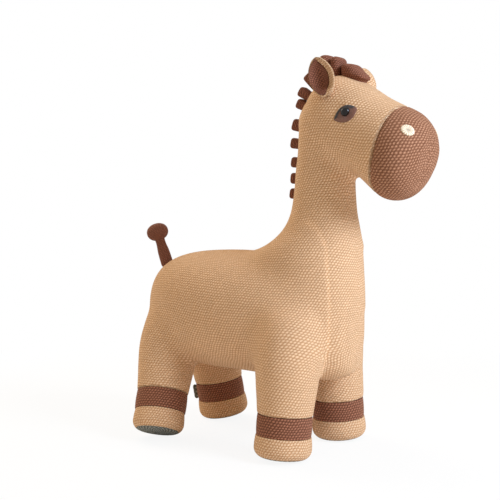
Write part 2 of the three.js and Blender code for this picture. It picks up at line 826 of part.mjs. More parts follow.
// The root is a round bar with ball ends, along the seam that the ear folds about
const earRootHalf = earRootLength / 2 - earRootRadius;
const earRootOutline = [
  ...[-90, -60, -30, 0].map((turn) => [
    earRootRadius * Math.cos(degrees(turn)),
    -earRootHalf + earRootRadius * Math.sin(degrees(turn)),
  ]),
  ...[0, 30, 60, 90].map((turn) => [
    earRootRadius * Math.cos(degrees(turn)),
    earRootHalf + earRootRadius * Math.sin(degrees(turn)),
  ]),
];
const earRootSides = 10;

for (const [name, side] of Object.entries(sides)) {
  const { ahead, back, out, open } = earPose[name];
  const seat = headForm.place([headMiddle.x + ahead, side * earAside, headMiddle.z + earRise]);
  const root = seat.middle.clone().addScaledVector(seat.out, earRootRadius + seam);
  const along = leaning(back, side * out);
  const opening = new THREE.Vector3(Math.sin(degrees(open)), side * Math.cos(degrees(open)), 0);
  opening.addScaledVector(along, -opening.dot(along)).normalize();
  const across = new THREE.Vector3().crossVectors(opening, along);
  const matrix = frame(root, across, opening, along);
  const bar = turned(earRootOutline, earRootSides, axisFrame(root, seat.ahead));
  const leaf = earLayer(earRows, -earWall, 0, 0, matrix);
  addPiece("ear_" + name, leaf.add(bar), beigeKnit);
  const lining = earLayer(liningRows, -earWall / 2, seam + liningThickness, liningMargin, matrix);
  addPiece("ear_lining_" + name, lining.subtract(earLayer(earRows, -earWall, seam, 0, matrix)), brownKnit);
}

// Mane and forelock: stuffed lobes that swell from a narrower root to a blunt end.
// Each row is the share of the reach and the share of the full size
const lobeRows = [
  [0, 0.76],
  [0.45, 0.92],
  [0.8, 1],
  [0.95, 0.86],
  [1, 0.6],
];

const lobeSquareness = 3.4;
const lobeSides = 8;

function lobe(width, height, reach, matrix) {
  const power = 2 / lobeSquareness;
  const rows = [[-lobeSink, lobeRows[0][1]], ...lobeRows.map(([share, size]) => [share * reach, size])];
  const rings = rows.map(([z, size]) =>
    Array.from({ length: lobeSides }, (_, j) => {
      const turn = degrees((360 * (j + 0.5)) / lobeSides);
      const x = (signedPower(Math.cos(turn), power) * size * width) / 2;
      const y = (signedPower(Math.sin(turn), power) * size * height) / 2;
      return new THREE.Vector3(x, y, z).applyMatrix4(matrix);
    }),
  );
  return loft(rings);
}

// A lobe's frame: Z points out of the skin in the mid plane, and Y along it, up and forwards
function lobeFrame(root, out) {
  const along = new THREE.Vector3().crossVectors(left, out).normalize();
  return frame(root, new THREE.Vector3().crossVectors(along, out), along, out);
}

const crest = new THREE.CatmullRomCurve3(
  [
    ...[0.6, 0.7, 0.8, 0.9, 0.97].map((t) => neckForm.from.getPoint(t)),
    ...[0, 1 / 6, 1 / 3].map((t) => headForm.from.getPoint(t)),
  ],
  false,
  "centripetal",
);
function maneLobe(i, grow = 0) {
  const out = new THREE.Vector3().crossVectors(crest.getTangentAt(lobePlace[i]), left).normalize();
  const place = lobeFrame(crest.getPointAt(lobePlace[i]), out);
  return lobe(lobeWidth + 2 * grow, lobeHeight + 2 * grow, lobeReach[i] + grow, place);
}

lobePlace.forEach((_, i) => {
  addPiece("mane_tab_" + (i + 1), maneLobe(i).subtract(neckCut).subtract(headCut), brownKnit);
});
const topLobeCut = maneLobe(lobePlace.length - 1, seam);

const forelock = forelockPlace
  .map((share, i) => {
    const place = lobeFrame(headForm.from.getPointAt(share), leaning(forelockLean[i], 0));
    return lobe(forelockWidth, forelockLobe, forelockReach[i], place);
  })
  .reduce((all, one) => all.add(one));
addPiece("forelock", forelock.subtract(headCut).subtract(topLobeCut), brownKnit);

// Tail: a tapered stem with a ball root, and a flattened ball on top
const rump = torsoForm.place([tailRootShift, 0, tailRootHeight]);
const tailRoot = rump.middle.clone().addScaledVector(rump.out, tailRootRadius + seam);
const tailMatrix = axisFrame(tailRoot, leaning(tailTilt, 0));
const tailSides = 14;

// Outline of a ball that may be flattened, from its bottom to its top
function ballOutline(radius, halfHeight, middle) {
  return Array.from({ length: 9 }, (_, i) => {
    const turn = degrees(-90 + (180 * i) / 8);
    return [radius * Math.cos(turn), middle + halfHeight * Math.sin(turn)];
  });
}

const stemOutline = [
  ...ballOutline(tailRootRadius, tailRootRadius, 0).slice(0, 5),
  [(tailRootRadius + tailTipRadius) / 2, tailLength / 3],
  [tailTipRadius, tailLength - tailBallHeight / 2],
  [tailTipRadius, tailLength],
  [0, tailLength],
];
const ballCut = turned(
  ballOutline(tailBallRadius + seam, tailBallHeight / 2 + seam, tailLength),
  tailSides,
  tailMatrix,
);
addPiece("tail_stem", turned(stemOutline, tailSides, tailMatrix).subtract(ballCut), brownKnit);
addPiece(
  "tail_ball",
  turned(ballOutline(tailBallRadius, tailBallHeight / 2, tailLength), tailSides, tailMatrix),
  brownKnit,
);

// Blank tab: stands out of the band's rear seam
const tabTurn = (tabFacet * 2 * Math.PI) / legSides;
const tabFrame = legs[tabLeg].matrix.clone().multiply(new THREE.Matrix4().makeRotationZ(tabTurn));
const tabInner = (ankleRadius + bandCrown) * Math.cos(Math.PI / legSides) + seam;
const tab = new THREE.BoxGeometry(tabReach, tabThickness, tabHeight);
tab.translate(tabInner + tabReach / 2, 0, bandBottom + bandHeight / 2).applyMatrix4(tabFrame);
addPiece("label_tab", solid(tab), greyCanvas);

const middle = new THREE.Box3().setFromObject(horse).getCenter(new THREE.Vector3());
horse.position.set(-middle.x, -middle.y, 0);

const part = new THREE.Group();
part.add(horse);

export default part;
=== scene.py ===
import json
import math

import bpy
import numpy as np
import openvdb as vdb
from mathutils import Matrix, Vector


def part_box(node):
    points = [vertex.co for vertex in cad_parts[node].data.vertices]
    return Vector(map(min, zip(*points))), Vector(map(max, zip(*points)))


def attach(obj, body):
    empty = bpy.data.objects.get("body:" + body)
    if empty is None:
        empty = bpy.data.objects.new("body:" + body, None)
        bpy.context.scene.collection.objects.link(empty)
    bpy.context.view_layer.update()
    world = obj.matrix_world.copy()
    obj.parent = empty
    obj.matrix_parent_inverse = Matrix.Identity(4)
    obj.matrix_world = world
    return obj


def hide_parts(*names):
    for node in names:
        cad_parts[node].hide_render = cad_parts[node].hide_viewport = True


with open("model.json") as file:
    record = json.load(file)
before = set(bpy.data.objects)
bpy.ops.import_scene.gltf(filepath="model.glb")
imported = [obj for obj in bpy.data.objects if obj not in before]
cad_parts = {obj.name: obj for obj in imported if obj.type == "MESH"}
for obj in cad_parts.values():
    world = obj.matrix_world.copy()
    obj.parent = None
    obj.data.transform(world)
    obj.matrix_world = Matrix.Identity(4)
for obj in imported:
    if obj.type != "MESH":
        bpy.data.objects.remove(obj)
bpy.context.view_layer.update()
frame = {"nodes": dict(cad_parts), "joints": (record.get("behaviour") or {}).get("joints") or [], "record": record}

# A big knitted horse to ride on. The shapes are worked out in millimetres, with X ahead of the middle of
# the feet and Y aside from the middle of the horse, and placed() carries them to the frame in metres.
mm = 0.001
body = {
    "length": 579, "shift": 8, "hipWidth": 301, "shoulderWidth": 325, "seatHeight": 456,
    "bellyHeight": 167, "rumpHeight": 294, "chestHeight": 337, "planSquareness": 2.3, "sideSquareness": 3.2,
    "brisketSquareness": 8, "brisketDrop": 9, "squareness": 2.25, "capShare": 0.015,
}
torsoLow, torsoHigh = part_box("torso")
feetMiddle = np.array([
    (torsoLow.x + torsoHigh.x) / 2 - body["shift"] * mm,
    (torsoLow.y + torsoHigh.y) / 2,
    0,
])


def placed(points):
    return np.asarray(points) * mm + feetMiddle


# Camera, at the photograph's angle
camera = {"place": (1325.6, -1883.2, 562.0), "turn": 35.093, "down": 2.637, "focalLength": 68.34}
view = bpy.data.cameras.new("camera")
view.sensor_width = 36
view.lens = camera["focalLength"]
cameraObject = bpy.data.objects.new("camera", view)
cameraObject.location = placed(camera["place"])
cameraObject.rotation_euler = (math.radians(90 - camera["down"]), 0, math.radians(camera["turn"]))
bpy.context.scene.collection.objects.link(cameraObject)
bpy.context.scene.camera = cameraObject
bpy.context.scene.view_settings.view_transform = "Standard"


# Materials
def linear(hexColour):
    # sRGB hex to linear: below 0.04045 divide by 12.92, above it ((c + 0.055) / 1.055) to the power 2.4
    channels = [int(hexColour[i:i + 2], 16) / 255 for i in (1, 3, 5)]
    return [c / 12.92 if c <= 0.04045 else ((c + 0.055) / 1.055) ** 2.4 for c in channels] + [1]


def addNode(tree, kind, settings=None, inputs=None):
    # Settings are the node's own properties; an input is either a value or another node's socket
    node = tree.nodes.new(kind)
    for name, value in (settings or {}).items():
        setattr(node, name, value)
    for name, value in (inputs or {}).items():
        if isinstance(value, bpy.types.NodeSocket):
            tree.links.new(value, node.inputs[name])
        else:
            node.inputs[name].default_value = value
    return node


def calc(tree, operation, *inputs):
    # The result of one Math node
    return addNode(tree, "ShaderNodeMath", {"operation": operation}, dict(enumerate(inputs))).outputs[0]


def vectorCalc(tree, operation, *inputs):
    # The result of one Vector Math node: a number for a dot product or a length, else a vector
    node = addNode(tree, "ShaderNodeVectorMath", {"operation": operation}, dict(enumerate(inputs)))
    return node.outputs["Value" if operation in ("DOT_PRODUCT", "LENGTH") else "Vector"]


def smoothFade(tree, value, start, end, first, last):
    # From first at start to last at end, by a smoothstep
    return addNode(tree, "ShaderNodeMapRange", {"interpolation_type": "SMOOTHSTEP"},
                   {0: value, 1: start, 2: end, 3: first, 4: last}).outputs[0]


def clothPlace(tree):
    return addNode(tree, "ShaderNodeUVMap", {"uv_map": "knit"}).outputs[0]


def split(tree, vector):
    return addNode(tree, "ShaderNodeSeparateXYZ", {}, {0: vector}).outputs


def joined(tree, x, y):
    return addNode(tree, "ShaderNodeCombineXYZ", {}, {0: x, 1: y}).outputs[0]


def objectNoise(tree, scale, detail=2, roughness=0.5):
    place = addNode(tree, "ShaderNodeTexCoord").outputs["Object"]
    return addNode(tree, "ShaderNodeTexNoise", {}, {
        "Vector": place, "Scale": scale, "Detail": detail, "Roughness": roughness}).outputs[0]


def colourRamp(tree, value, stops):
    # Stops are (place, colour), where a colour is sRGB hex or the share of a grey
    node = addNode(tree, "ShaderNodeValToRGB", {}, {0: value})
    ramp = node.color_ramp
    while len(ramp.elements) < len(stops):
        ramp.elements.new(0.5)
    for element, (place, colour) in zip(ramp.elements, stops):
        element.position = place
        element.color = linear(colour) if isinstance(colour, str) else (colour, colour, colour, 1)
    return node.outputs[0]


def newMaterial(name):
    material = bpy.data.materials.new(name)
    material.use_nodes = True
    tree = material.node_tree
    return material, tree, tree.nodes["Principled BSDF"]


def finishSurface(tree, shader, colour, height, distance, strength, values):
    # Colour and bump are linked; what is the same all over is set on the shader's own sockets
    bump = addNode(tree, "ShaderNodeBump", {}, {"Strength": strength, "Distance": distance, "Height": height})
    tree.links.new(colour, shader.inputs["Base Color"])
    tree.links.new(bump.outputs[0], shader.inputs["Normal"])
    for name, value in values.items():
        shader.inputs[name].default_value = value


def knitMaterial(name, colours, pitch=7.4, row=5.8, relief=1.1):
    # Chunky cotton yarn knitted in moss stitch: rows of fat slanting stitches like grains of rice, each row
    # moved half a stitch, with painted shade in the gaps between them and a painted highlight on each stitch's
    # top. Matt, with a soft fuzzy edge. Pitch, row and relief are real millimetres.
    slant, halfLength, halfWidth = math.radians(28), 0.6 * pitch, 0.52 * row
    material, tree, shader = newMaterial(name)
    uv = clothPlace(tree)
    # Hand-made unevenness: the lattice wanders by a fraction of a stitch
    wander = addNode(tree, "ShaderNodeTexNoise", {"noise_dimensions": "2D"}, {
        "Vector": uv, "Scale": 0.22 / (pitch * mm), "Detail": 2}).outputs[1]
    centred = vectorCalc(tree, "SUBTRACT", wander, (0.5, 0.5, 0.5))
    warped = vectorCalc(tree, "MULTIPLY_ADD", centred, (pitch * mm, row * mm, 0), uv)
    grid = vectorCalc(tree, "MULTIPLY", warped, (1 / (pitch * mm), 1 / (row * mm), 0))
    # The stitch at this place: its row, its column, and one chance value for each
    place = split(tree, grid)
    rowIndex = calc(tree, "ROUND", place[1])
    across = calc(tree, "MULTIPLY_ADD", rowIndex, 0.5, place[0])
    cell = joined(tree, calc(tree, "ROUND", across), rowIndex)
    chance = addNode(tree, "ShaderNodeTexWhiteNoise", {"noise_dimensions": "3D"}, {0: cell}).outputs[0]
    # Distance from the stitch's middle, along its slant over its half length and across it over its half
    # width. Height is smooth from 1 in the middle to 0 past the edge.
    offset = vectorCalc(tree, "SUBTRACT", joined(tree, across, place[1]), cell)
    lengthwise = vectorCalc(tree, "DOT_PRODUCT", offset, (
        pitch * math.cos(slant) / halfLength, row * math.sin(slant) / halfLength, 0))
    crosswise = vectorCalc(tree, "DOT_PRODUCT", offset, (
        -pitch * math.sin(slant) / halfWidth, row * math.cos(slant) / halfWidth, 0))
    distance = vectorCalc(tree, "LENGTH", joined(tree, lengthwise, crosswise))
    height = smoothFade(tree, distance, 0.0, 1.25, 1.0, 0.0)
    # Yarn plies are fine slanting ridges along each stitch, and loose fibres blur them
    plies = calc(tree, "SINE", vectorCalc(tree, "DOT_PRODUCT", grid, (15, 11, 0)))
    yarn = calc(tree, "MULTIPLY_ADD", plies, 0.04, height)
    fuzzy = calc(tree, "MULTIPLY_ADD", objectNoise(tree, 900, 3, 0.65), 0.12, yarn)
    # Along a seam the stitches stand up in one line, with a painted highlight on it; the attribute is nought on
    # pieces without one
    seam = addNode(tree, "ShaderNodeAttribute", {"attribute_name": "seam"}).outputs["Fac"]
    raised = calc(tree, "MULTIPLY_ADD", seam, 0.5, fuzzy)
    # Tone changes a little from stitch to stitch and slowly over the body; along the seam it is made paler as a
    # painted highlight
    tone = calc(tree, "MULTIPLY_ADD", chance, 0.08, 0.92)
    drift = calc(tree, "MULTIPLY_ADD", objectNoise(tree, 14), 0.08, tone)
    # The seam's paler tone is a painted highlight on its raised stitches
    paler = calc(tree, "MULTIPLY_ADD", seam, 0.16, drift)
    # The stitch's height picks its colour: painted shade in the gaps, the yarn's own colour on its sides and a
    # painted highlight on its top
    shadedYarnColour = colourRamp(tree, height, list(zip((0.0, 0.42, 1.0), colours)))
    finishSurface(tree, shader, vectorCalc(tree, "MULTIPLY", shadedYarnColour, paler), raised, relief * mm, 1.0, {
        "Roughness": 0.84, "Specular IOR Level": 0.3, "Sheen Weight": 0.35, "Sheen Roughness": 0.45,
        "Sheen Tint": linear(colours[2])})
    return material


def plainMaterial(name, colours, scale, grain, roughness, metallic=0.0, specular=0.5):
    # A body colour with a faint mottle of a second one, and the same noise as a surface grain, in metres
    material, tree, shader = newMaterial(name)
    noise = objectNoise(tree, scale, 4)
    colour = colourRamp(tree, noise, list(zip((0.3, 0.75), colours)))
    finishSurface(tree, shader, colour, noise, grain, 1.0, {
        "Roughness": roughness, "Metallic": metallic, "Specular IOR Level": specular})
    return material


def canvasMaterial(name, thread=5.5):
    # Coarse woven polyester canvas: dark grey warp and weft about 1.6 mm apart, drawn coarser than life, at
    # the given distance in mm, so that the weave shows. Matt, with a painted highlight on the thread tops and
    # painted shade between them.
    material, tree, shader = newMaterial(name)
    turns = math.pi / (thread * mm)
    axes = split(tree, vectorCalc(tree, "MULTIPLY", clothPlace(tree), (turns, turns, 0)))
    weave = calc(tree, "MULTIPLY", calc(tree, "SINE", axes[0]), calc(tree, "SINE", axes[1]))
    height = calc(tree, "MULTIPLY_ADD", weave, 0.5, 0.5)
    # Painted shade between the threads and a painted highlight on their tops, by the weave's height
    colour = colourRamp(tree, height, [(0.05, "#3B3C38"), (0.5, "#6A6B64"), (1.0, "#B3B3A9")])
    finishSurface(tree, shader, colour, height, 0.6 * mm, 0.8, {"Roughness": 0.9, "Specular IOR Level": 0.2})
    return material


def threadMaterial(name, colours, spokes, lash=0.0):
    # Embroidery: glossy cotton threads laid side by side from the rim to the middle, which gives fine rays
    # with a soft shine. Spokes is how many threads go round, and lash darkens the rim's first half turn.
    material, tree, shader = newMaterial(name)
    axes = split(tree, clothPlace(tree))
    ray = calc(tree, "SINE", calc(tree, "MULTIPLY", axes[0], spokes * 2 * math.pi))
    height = calc(tree, "MULTIPLY_ADD", ray, 0.5, 0.5)
    # The rim lies at half of the map's height, where the pad turns under; painted shade darkens the colour a
    # little there and more towards the middle, under the bead and in the nostril's hollow
    rim = colourRamp(tree, axes[1], [(0.0, 0.62), (0.14, 0.95), (0.4, 1.0), (0.5, 0.8)])
    nearRim = smoothFade(tree, axes[1], 0.26, 0.36, 0.0, lash)
    upper = smoothFade(tree, axes[0], 0.44, 0.5, 1.0, 0.0)
    light = calc(tree, "SUBTRACT", 1.0, calc(tree, "MULTIPLY", nearRim, upper))
    # Each thread is painted lighter on its top and darker with painted shade in the groove between threads
    thread = colourRamp(tree, height, list(zip((0.0, 0.7), colours)))
    lined = vectorCalc(tree, "MULTIPLY", vectorCalc(tree, "MULTIPLY", thread, rim), light)
    finishSurface(tree, shader, lined, height, 0.5 * mm, 0.9, {"Roughness": 0.6, "Sheen Weight": 0.2})
    return material


beigeKnit = knitMaterial("beige_cotton_knit", ("#B7885D", "#D0A57E", "#EDCBA4"))
roseKnit = knitMaterial("rose_brown_cotton_knit", ("#70452D", "#8D5E42", "#BD8B6C"), 7.9, 6.0)
brownKnit = knitMaterial("dark_brown_cotton_knit", ("#56321E", "#7E4C35", "#AC755A"))
fineBrownKnit = knitMaterial("fine_dark_brown_knit", ("#4C2B1B", "#774632", "#9E654D"), 5.0, 4.0, 0.8)
greyCanvas = canvasMaterial("grey_polyester_canvas")
brownFelt = threadMaterial("brown_embroidery", ("#55301F", "#84533D"), 64, 0.93)
creamYarn = threadMaterial("cream_embroidery", ("#D2B28C", "#F7E6CB"), 16)
# The safety eyes have the only sharp gloss. Caps and washers are satin moulded plastic, the tubes have a dull
# coat, the bolts are bright, and the boards are pale with a faint grain.
blackPlastic = plainMaterial("polished_black_acrylic", ("#0A0706", "#120C0A"), 40, 0.0, 0.14, specular=0.3)
capPlastic = plainMaterial("black_moulded_polyethylene", ("#1B1B1D", "#242427"), 300, 0.0001, 0.5)
whitePlastic = plainMaterial("natural_polypropylene", ("#D9D7D0", "#C9C6BD"), 200, 0.0001, 0.45)
coatedSteel = plainMaterial("powder_coated_steel", ("#2F3236", "#3A3D42"), 700, 0.0002, 0.45, 0.3)
zincSteel = plainMaterial("zinc_plated_steel", ("#B7BABF", "#A5A8AD"), 250, 0.0001, 0.32, 1.0)
birchPlywood = plainMaterial("sanded_birch_plywood", ("#CDAE80", "#B48F5E"), 35, 0.0003, 0.7)
print("materials made")


# Shapes
def smoothRows(rows, t):
    # Catmull-Rom: every column runs smoothly through its rows, with t from 0 at the first to 1 at the last
    rows = np.asarray(rows, float)
    ends = np.vstack([2 * rows[0] - rows[1], rows, 2 * rows[-1] - rows[-2]])
    place = np.clip(t, 0, 1) * (len(rows) - 1)
    i = np.minimum(place.astype(int), len(rows) - 2)
    f = (place - i)[:, None]
    a, b, c, d = (ends[i + k] for k in range(4))
    return b + 0.5 * f * (c - a + f * (2 * a - 5 * b + 4 * c - d + f * (3 * (b - c) + d - a)))


def signedPower(x, power):
    return np.sign(x) * np.abs(x) ** power


def roundedShare(u, squareness):
    return (1 - np.minimum(1, np.abs(u)) ** squareness) ** (1 / squareness)


def between(value, zero, one):
    # A straight line from 0 at the first limit to 1 at the second, level past both
    return np.clip((value - zero) / (one - zero), 0, 1)


def bell(distance, width):
    # exp(-(distance / width) squared)
    return np.exp(-(distance / width) ** 2)


def softStep(value, width):
    # 1 / (1 + exp(-value / width))
    return 1 / (1 + np.exp(-value / width))


def fullTurn(sides):
    return 2 * np.pi * np.arange(sides) / sides


def squaredTurn(angle, first, second):
    # A rounded outline: cos(a) and sin(a), to the power 2 / first and 2 / second, with their signs kept
    return signedPower(np.cos(angle), 2 / first), signedPower(np.sin(angle), 2 / second)


def moved(points, matrix):
    return points @ matrix[:3, :3].T + matrix[:3, 3]


def stuffedGrid(chords, squareness, startCap=0, endCap=0, rings=56, sides=96, capRings=10):
    # Each chord is fromX, fromZ, toX, toZ and a half width. A ring is a rounded outline on its chord:
    # middle + half chord * cos(a) to a power + half width * sin(a) to that power. A cap draws the end ring
    # in by cos and pushes it out by sin.
    t = np.linspace(0, 1, rings + 1)
    rows = smoothRows(chords, t)
    middle = (rows[:, [0, 1]] + rows[:, [2, 3]]) / 2
    half = (rows[:, [0, 1]] - rows[:, [2, 3]]) / 2
    shrink = np.ones(rings + 1)
    push = np.zeros((rings + 1, 2))
    index = np.arange(rings + 1)
    turns = np.linspace(0, np.pi / 2, capRings + 1)[1:]
    for cap, end, inner in ((startCap, 0, 1), (endCap, rings, rings - 1)):
        if not cap:
            continue
        outwards = unit(middle[end] - middle[inner])
        extra = [np.full(capRings, end), np.cos(turns), np.sin(turns)[:, None] * cap * outwards]
        if end == 0:
            index, shrink, push = (np.concatenate([e[::-1], a]) for e, a in zip(extra, (index, shrink, push)))
        else:
            index, shrink, push = (np.concatenate([a, e]) for e, a in zip(extra, (index, shrink, push)))
    along, across = (part * shrink[:, None] for part in squaredTurn(fullTurn(sides), squareness, squareness))
    x = middle[index, 0, None] + half[index, 0, None] * along + push[:, 0, None]
    z = middle[index, 1, None] + half[index, 1, None] * along + push[:, 1, None]
    return np.stack([x, rows[index, 4, None] * across, z], -1)


def gridFaces(rings, sides, closeRings=False):
    # Quads between neighbouring rings, each ring closed on itself
    i = np.arange(rings if closeRings else rings - 1)[:, None]
    j = np.arange(sides)
    nextRing = (i + 1) % rings
    nextSide = (j + 1) % sides
    corners = (i * sides + j, nextRing * sides + j, nextRing * sides + nextSide, i * sides + nextSide)
    return np.stack(np.broadcast_arrays(*corners), -1).reshape(-1, 4)


def capped(grid):
    # Points, quads and triangles of a grid whose two ends are closed by a fan on their middle
    rings, sides = grid.shape[:2]
    points = np.vstack([grid.reshape(-1, 3), grid[0].mean(0), grid[-1].mean(0)])
    j = np.arange(sides)
    k = (j + 1) % sides
    last = (rings - 1) * sides
    first = np.stack([j, k, np.full(sides, rings * sides)], -1)
    end = np.stack([last + k, last + j, np.full(sides, rings * sides + 1)], -1)
    return points, gridFaces(rings, sides), np.vstack([first, end])


def outwardFaces(points, quads, triangles):
    # Turns every face round if the volume that they close comes out negative
    corners = np.vstack([quads[:, [0, 1, 2]], quads[:, [0, 2, 3]], triangles])
    a, b, c = (points[corners[:, k]] for k in range(3))
    if np.einsum("ij,ij->i", a, np.cross(b, c)).sum() < 0:
        return quads[:, ::-1], triangles[:, ::-1]
    return quads, triangles


noTriangles = np.zeros((0, 3), int)


def makePiece(name, points, quads, triangles, material, quadMap, triangleMap):
    # A mesh with smooth faces and the UV map knit, which holds metres of cloth at each face's corners
    turnedQuads, turnedTriangles = outwardFaces(points, quads, triangles)
    if turnedQuads is not quads:
        quadMap, triangleMap = quadMap[:, ::-1], triangleMap[:, ::-1]
    corners = np.concatenate([turnedQuads.ravel(), turnedTriangles.ravel()])
    mesh = bpy.data.meshes.new(name)
    mesh.vertices.add(len(points))
    mesh.vertices.foreach_set("co", points.astype(np.float32).ravel())
    mesh.loops.add(len(corners))
    mesh.loops.foreach_set("vertex_index", corners.astype(np.int32))
    starts = np.concatenate([4 * np.arange(len(quads)), 4 * len(quads) + 3 * np.arange(len(triangles))])
    mesh.polygons.add(len(starts))
    mesh.polygons.foreach_set("loop_start", starts.astype(np.int32))
    mesh.update(calc_edges=True)
    mesh.validate()
    mesh.shade_smooth()
    layer = mesh.uv_layers.new(name="knit")
    layer.data.foreach_set("uv", np.concatenate([quadMap.ravel(), triangleMap.ravel()]).astype(np.float32))
    mesh.materials.append(material)
    piece = bpy.data.objects.new(name, mesh)
    bpy.context.scene.collection.objects.link(piece)
    return piece


def dress(piece, nodes, bodyName="horse"):
    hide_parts(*nodes)
    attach(piece, bodyName)


def ringPiece(name, grid, material, pitch=8.0, closed=False, rays=False):
    # A grid of rings, in mm, as a piece. The cloth goes round in whole stitches and up by the mean distance
    # between rings. With rays it goes round from 0 to 1, and out from 0 at the first ring to 1 at the last.
    rings, sides = grid.shape[:2]
    around = np.linalg.norm(np.roll(grid, -1, 1) - grid, axis=2).sum(1).max()
    steps = np.linalg.norm(np.diff(grid, axis=0), axis=2).mean(1)
    up = np.concatenate([[0], np.cumsum(steps)]) * mm
    turn = max(1, round(around / pitch)) * pitch * mm
    if closed:
        up = np.concatenate([up, [up[-1] + np.linalg.norm(grid[0] - grid[-1], axis=1).mean() * mm]])
    if rays:
        up, turn = up / up[-1], 1
    i, j = np.meshgrid(np.arange(rings if closed else rings - 1), np.arange(sides), indexing="ij")
    u = np.stack([j, j, j + 1, j + 1], -1).reshape(-1, 4) / sides * turn
    v = up[np.stack([i, i + 1, i + 1, i], -1).reshape(-1, 4)]
    quadMap = np.stack([u, v], -1)
    if closed:
        return makePiece(name, placed(grid.reshape(-1, 3)), gridFaces(rings, sides, True), noTriangles,
                         material, quadMap, np.zeros((0, 3, 2)))
    points, quads, triangles = capped(grid)
    j = np.arange(sides)
    ends = []
    for end, first, outwards in ((0, 0, -1), (-1, 1, 1)):
        u = np.stack([j + first, j + 1 - first, j + 0.5], -1) / sides * turn
        pole = 0 if rays else np.linalg.norm(grid[end] - grid[end].mean(0), axis=1).mean() * mm * outwards
        v = up[end] + np.stack([np.zeros(sides), np.zeros(sides), np.full(sides, pole)], -1)
        ends.append(np.stack([u, v], -1))
    return makePiece(name, placed(points), quads, triangles, material, quadMap, np.concatenate(ends))


def vertexNormals(points, quads, triangles):
    # Sum of the neighbouring faces' area vectors: half the cross product of a face's diagonals
    normals = np.zeros_like(points)
    for faces, (a, b, c, d) in ((quads, (0, 2, 1, 3)), (triangles, (0, 1, 0, 2))):
        cross = np.cross(points[faces[:, b]] - points[faces[:, a]], points[faces[:, d]] - points[faces[:, c]])
        for corner in range(faces.shape[1]):
            for axis in range(3):
                normals[:, axis] += np.bincount(faces[:, corner], cross[:, axis], len(points))
    return normals / np.maximum(np.linalg.norm(normals, axis=1, keepdims=True), 1e-12)


def edgePairs(quads, triangles, count):
    # The two point numbers of every edge, each edge once
    sides = [faces[:, [k, (k + 1) % faces.shape[1]]]
             for faces in (quads, triangles) for k in range(faces.shape[1])]
    pairs = np.sort(np.vstack(sides), axis=1)
    keys = np.unique(pairs[:, 0] * count + pairs[:, 1])
    return keys // count, keys % count


def averaged(values, i, j, passes):
    # Each value moves to the mean of its neighbours, passes times
    weight = np.bincount(i, minlength=len(values)) + np.bincount(j, minlength=len(values))
    for _ in range(passes):
        total = np.stack([
            np.bincount(i, values[j, k], len(values)) + np.bincount(j, values[i, k], len(values))
            for k in range(values.shape[1])], -1)
        values = 0.5 * values + 0.5 * total / np.maximum(weight, 1)[:, None]
    return values


def panelMap(points, quads, triangles, shown, passes=700, turns=6):
    # Lays flat cloth on a rounded form. A flat side panel lies in the XZ plane; at each point it is turned
    # about its own plane until it touches the form, without stretch, which gives the wanted direction of
    # its width and height there. The map is the one whose steps along all edges come nearest to those,
    # found by conjugate gradients. Then each patch of cloth turns in its own plane to lie best on its place
    # in the map, and the map is found again, so that no stitch is drawn out much longer than another. Only
    # the points that are shown, and not those behind a seam, take part.
    quads, triangles = outwardFaces(points, quads, triangles)
    i, j = edgePairs(quads, triangles, len(points))
    i, j = i[shown[i] & shown[j]], j[shown[i] & shown[j]]
    normals = averaged(vertexNormals(points, quads, triangles), i, j, 8)
    normals /= np.maximum(np.linalg.norm(normals, axis=1, keepdims=True), 1e-12)
    step = points[j] - points[i]

    def turned(n):
        # A step's width and height in the side panel, as a complex number, where the form faces n
        flat = np.hypot(n[:, 0], n[:, 2])
        rx = np.where(flat > 1e-6, n[:, 0] / np.maximum(flat, 1e-6), 1)
        rz = np.where(flat > 1e-6, n[:, 2] / np.maximum(flat, 1e-6), 0)
        rolled = (rx * step[:, 0] + rz * step[:, 2]) * np.abs(n[:, 1]) - flat * np.sign(n[:, 1]) * step[:, 1]
        return (rx + 1j * rz) * (rolled + 1j * (-rz * step[:, 0] + rx * step[:, 2]))

    def total(values, ends):
        return np.bincount(ends, values.real, len(points)) + 1j * np.bincount(ends, values.imag, len(points))

    degree = np.maximum(np.bincount(i, minlength=len(points)) + np.bincount(j, minlength=len(points)), 1)
    fromStart, fromEnd = turned(normals[i]), turned(normals[j])
    # Steps over a fold, where the cloth's two sides meet, follow the side of the edge's middle
    middle = normals[i] + normals[j]
    wanted = turned(middle / np.maximum(np.linalg.norm(middle, axis=1, keepdims=True), 1e-12))
    folded = np.sign(normals[i, 1]) != np.sign(normals[j, 1])
    fromStart, fromEnd = (np.where(folded, wanted, side) for side in (fromStart, fromEnd))
    result = points[:, 0] + 1j * points[:, 2]
    for turn in range(turns + 1):
        if turn:
            laid = result[j] - result[i]
            patch = total(laid * fromStart.conj(), i) + total(laid * fromEnd.conj(), j)
            patch = patch / np.maximum(np.abs(patch), 1e-12)
            wanted = (patch[i] * fromStart + patch[j] * fromEnd) / 2
        rest = wanted - (result[j] - result[i])
        residual = total(rest, j) - total(rest, i)
        scaled = residual / degree
        direction = scaled.copy()
        energy = (residual * scaled.conj()).real.sum()
        for _ in range(passes if turn == 0 else passes // 5):
            pull = direction[j] - direction[i]
            pulled = total(pull, j) - total(pull, i)
            rate = energy / max((direction.conj() * pulled).real.sum(), 1e-30)
            result += rate * direction
            residual -= rate * pulled
            scaled = residual / degree
            newEnergy = (residual * scaled.conj()).real.sum()
            direction = scaled + newEnergy / max(energy, 1e-30) * direction
            energy = newEnergy
    return np.stack([result.real, result.imag], -1)


def knitPiece(name, points, quads, triangles, material, shown=None, passes=300):
    cloth = panelMap(points, quads, triangles, np.ones(len(points), bool) if shown is None else shown, passes)
    return makePiece(name, points, quads, triangles, material, cloth[quads], cloth[triangles])


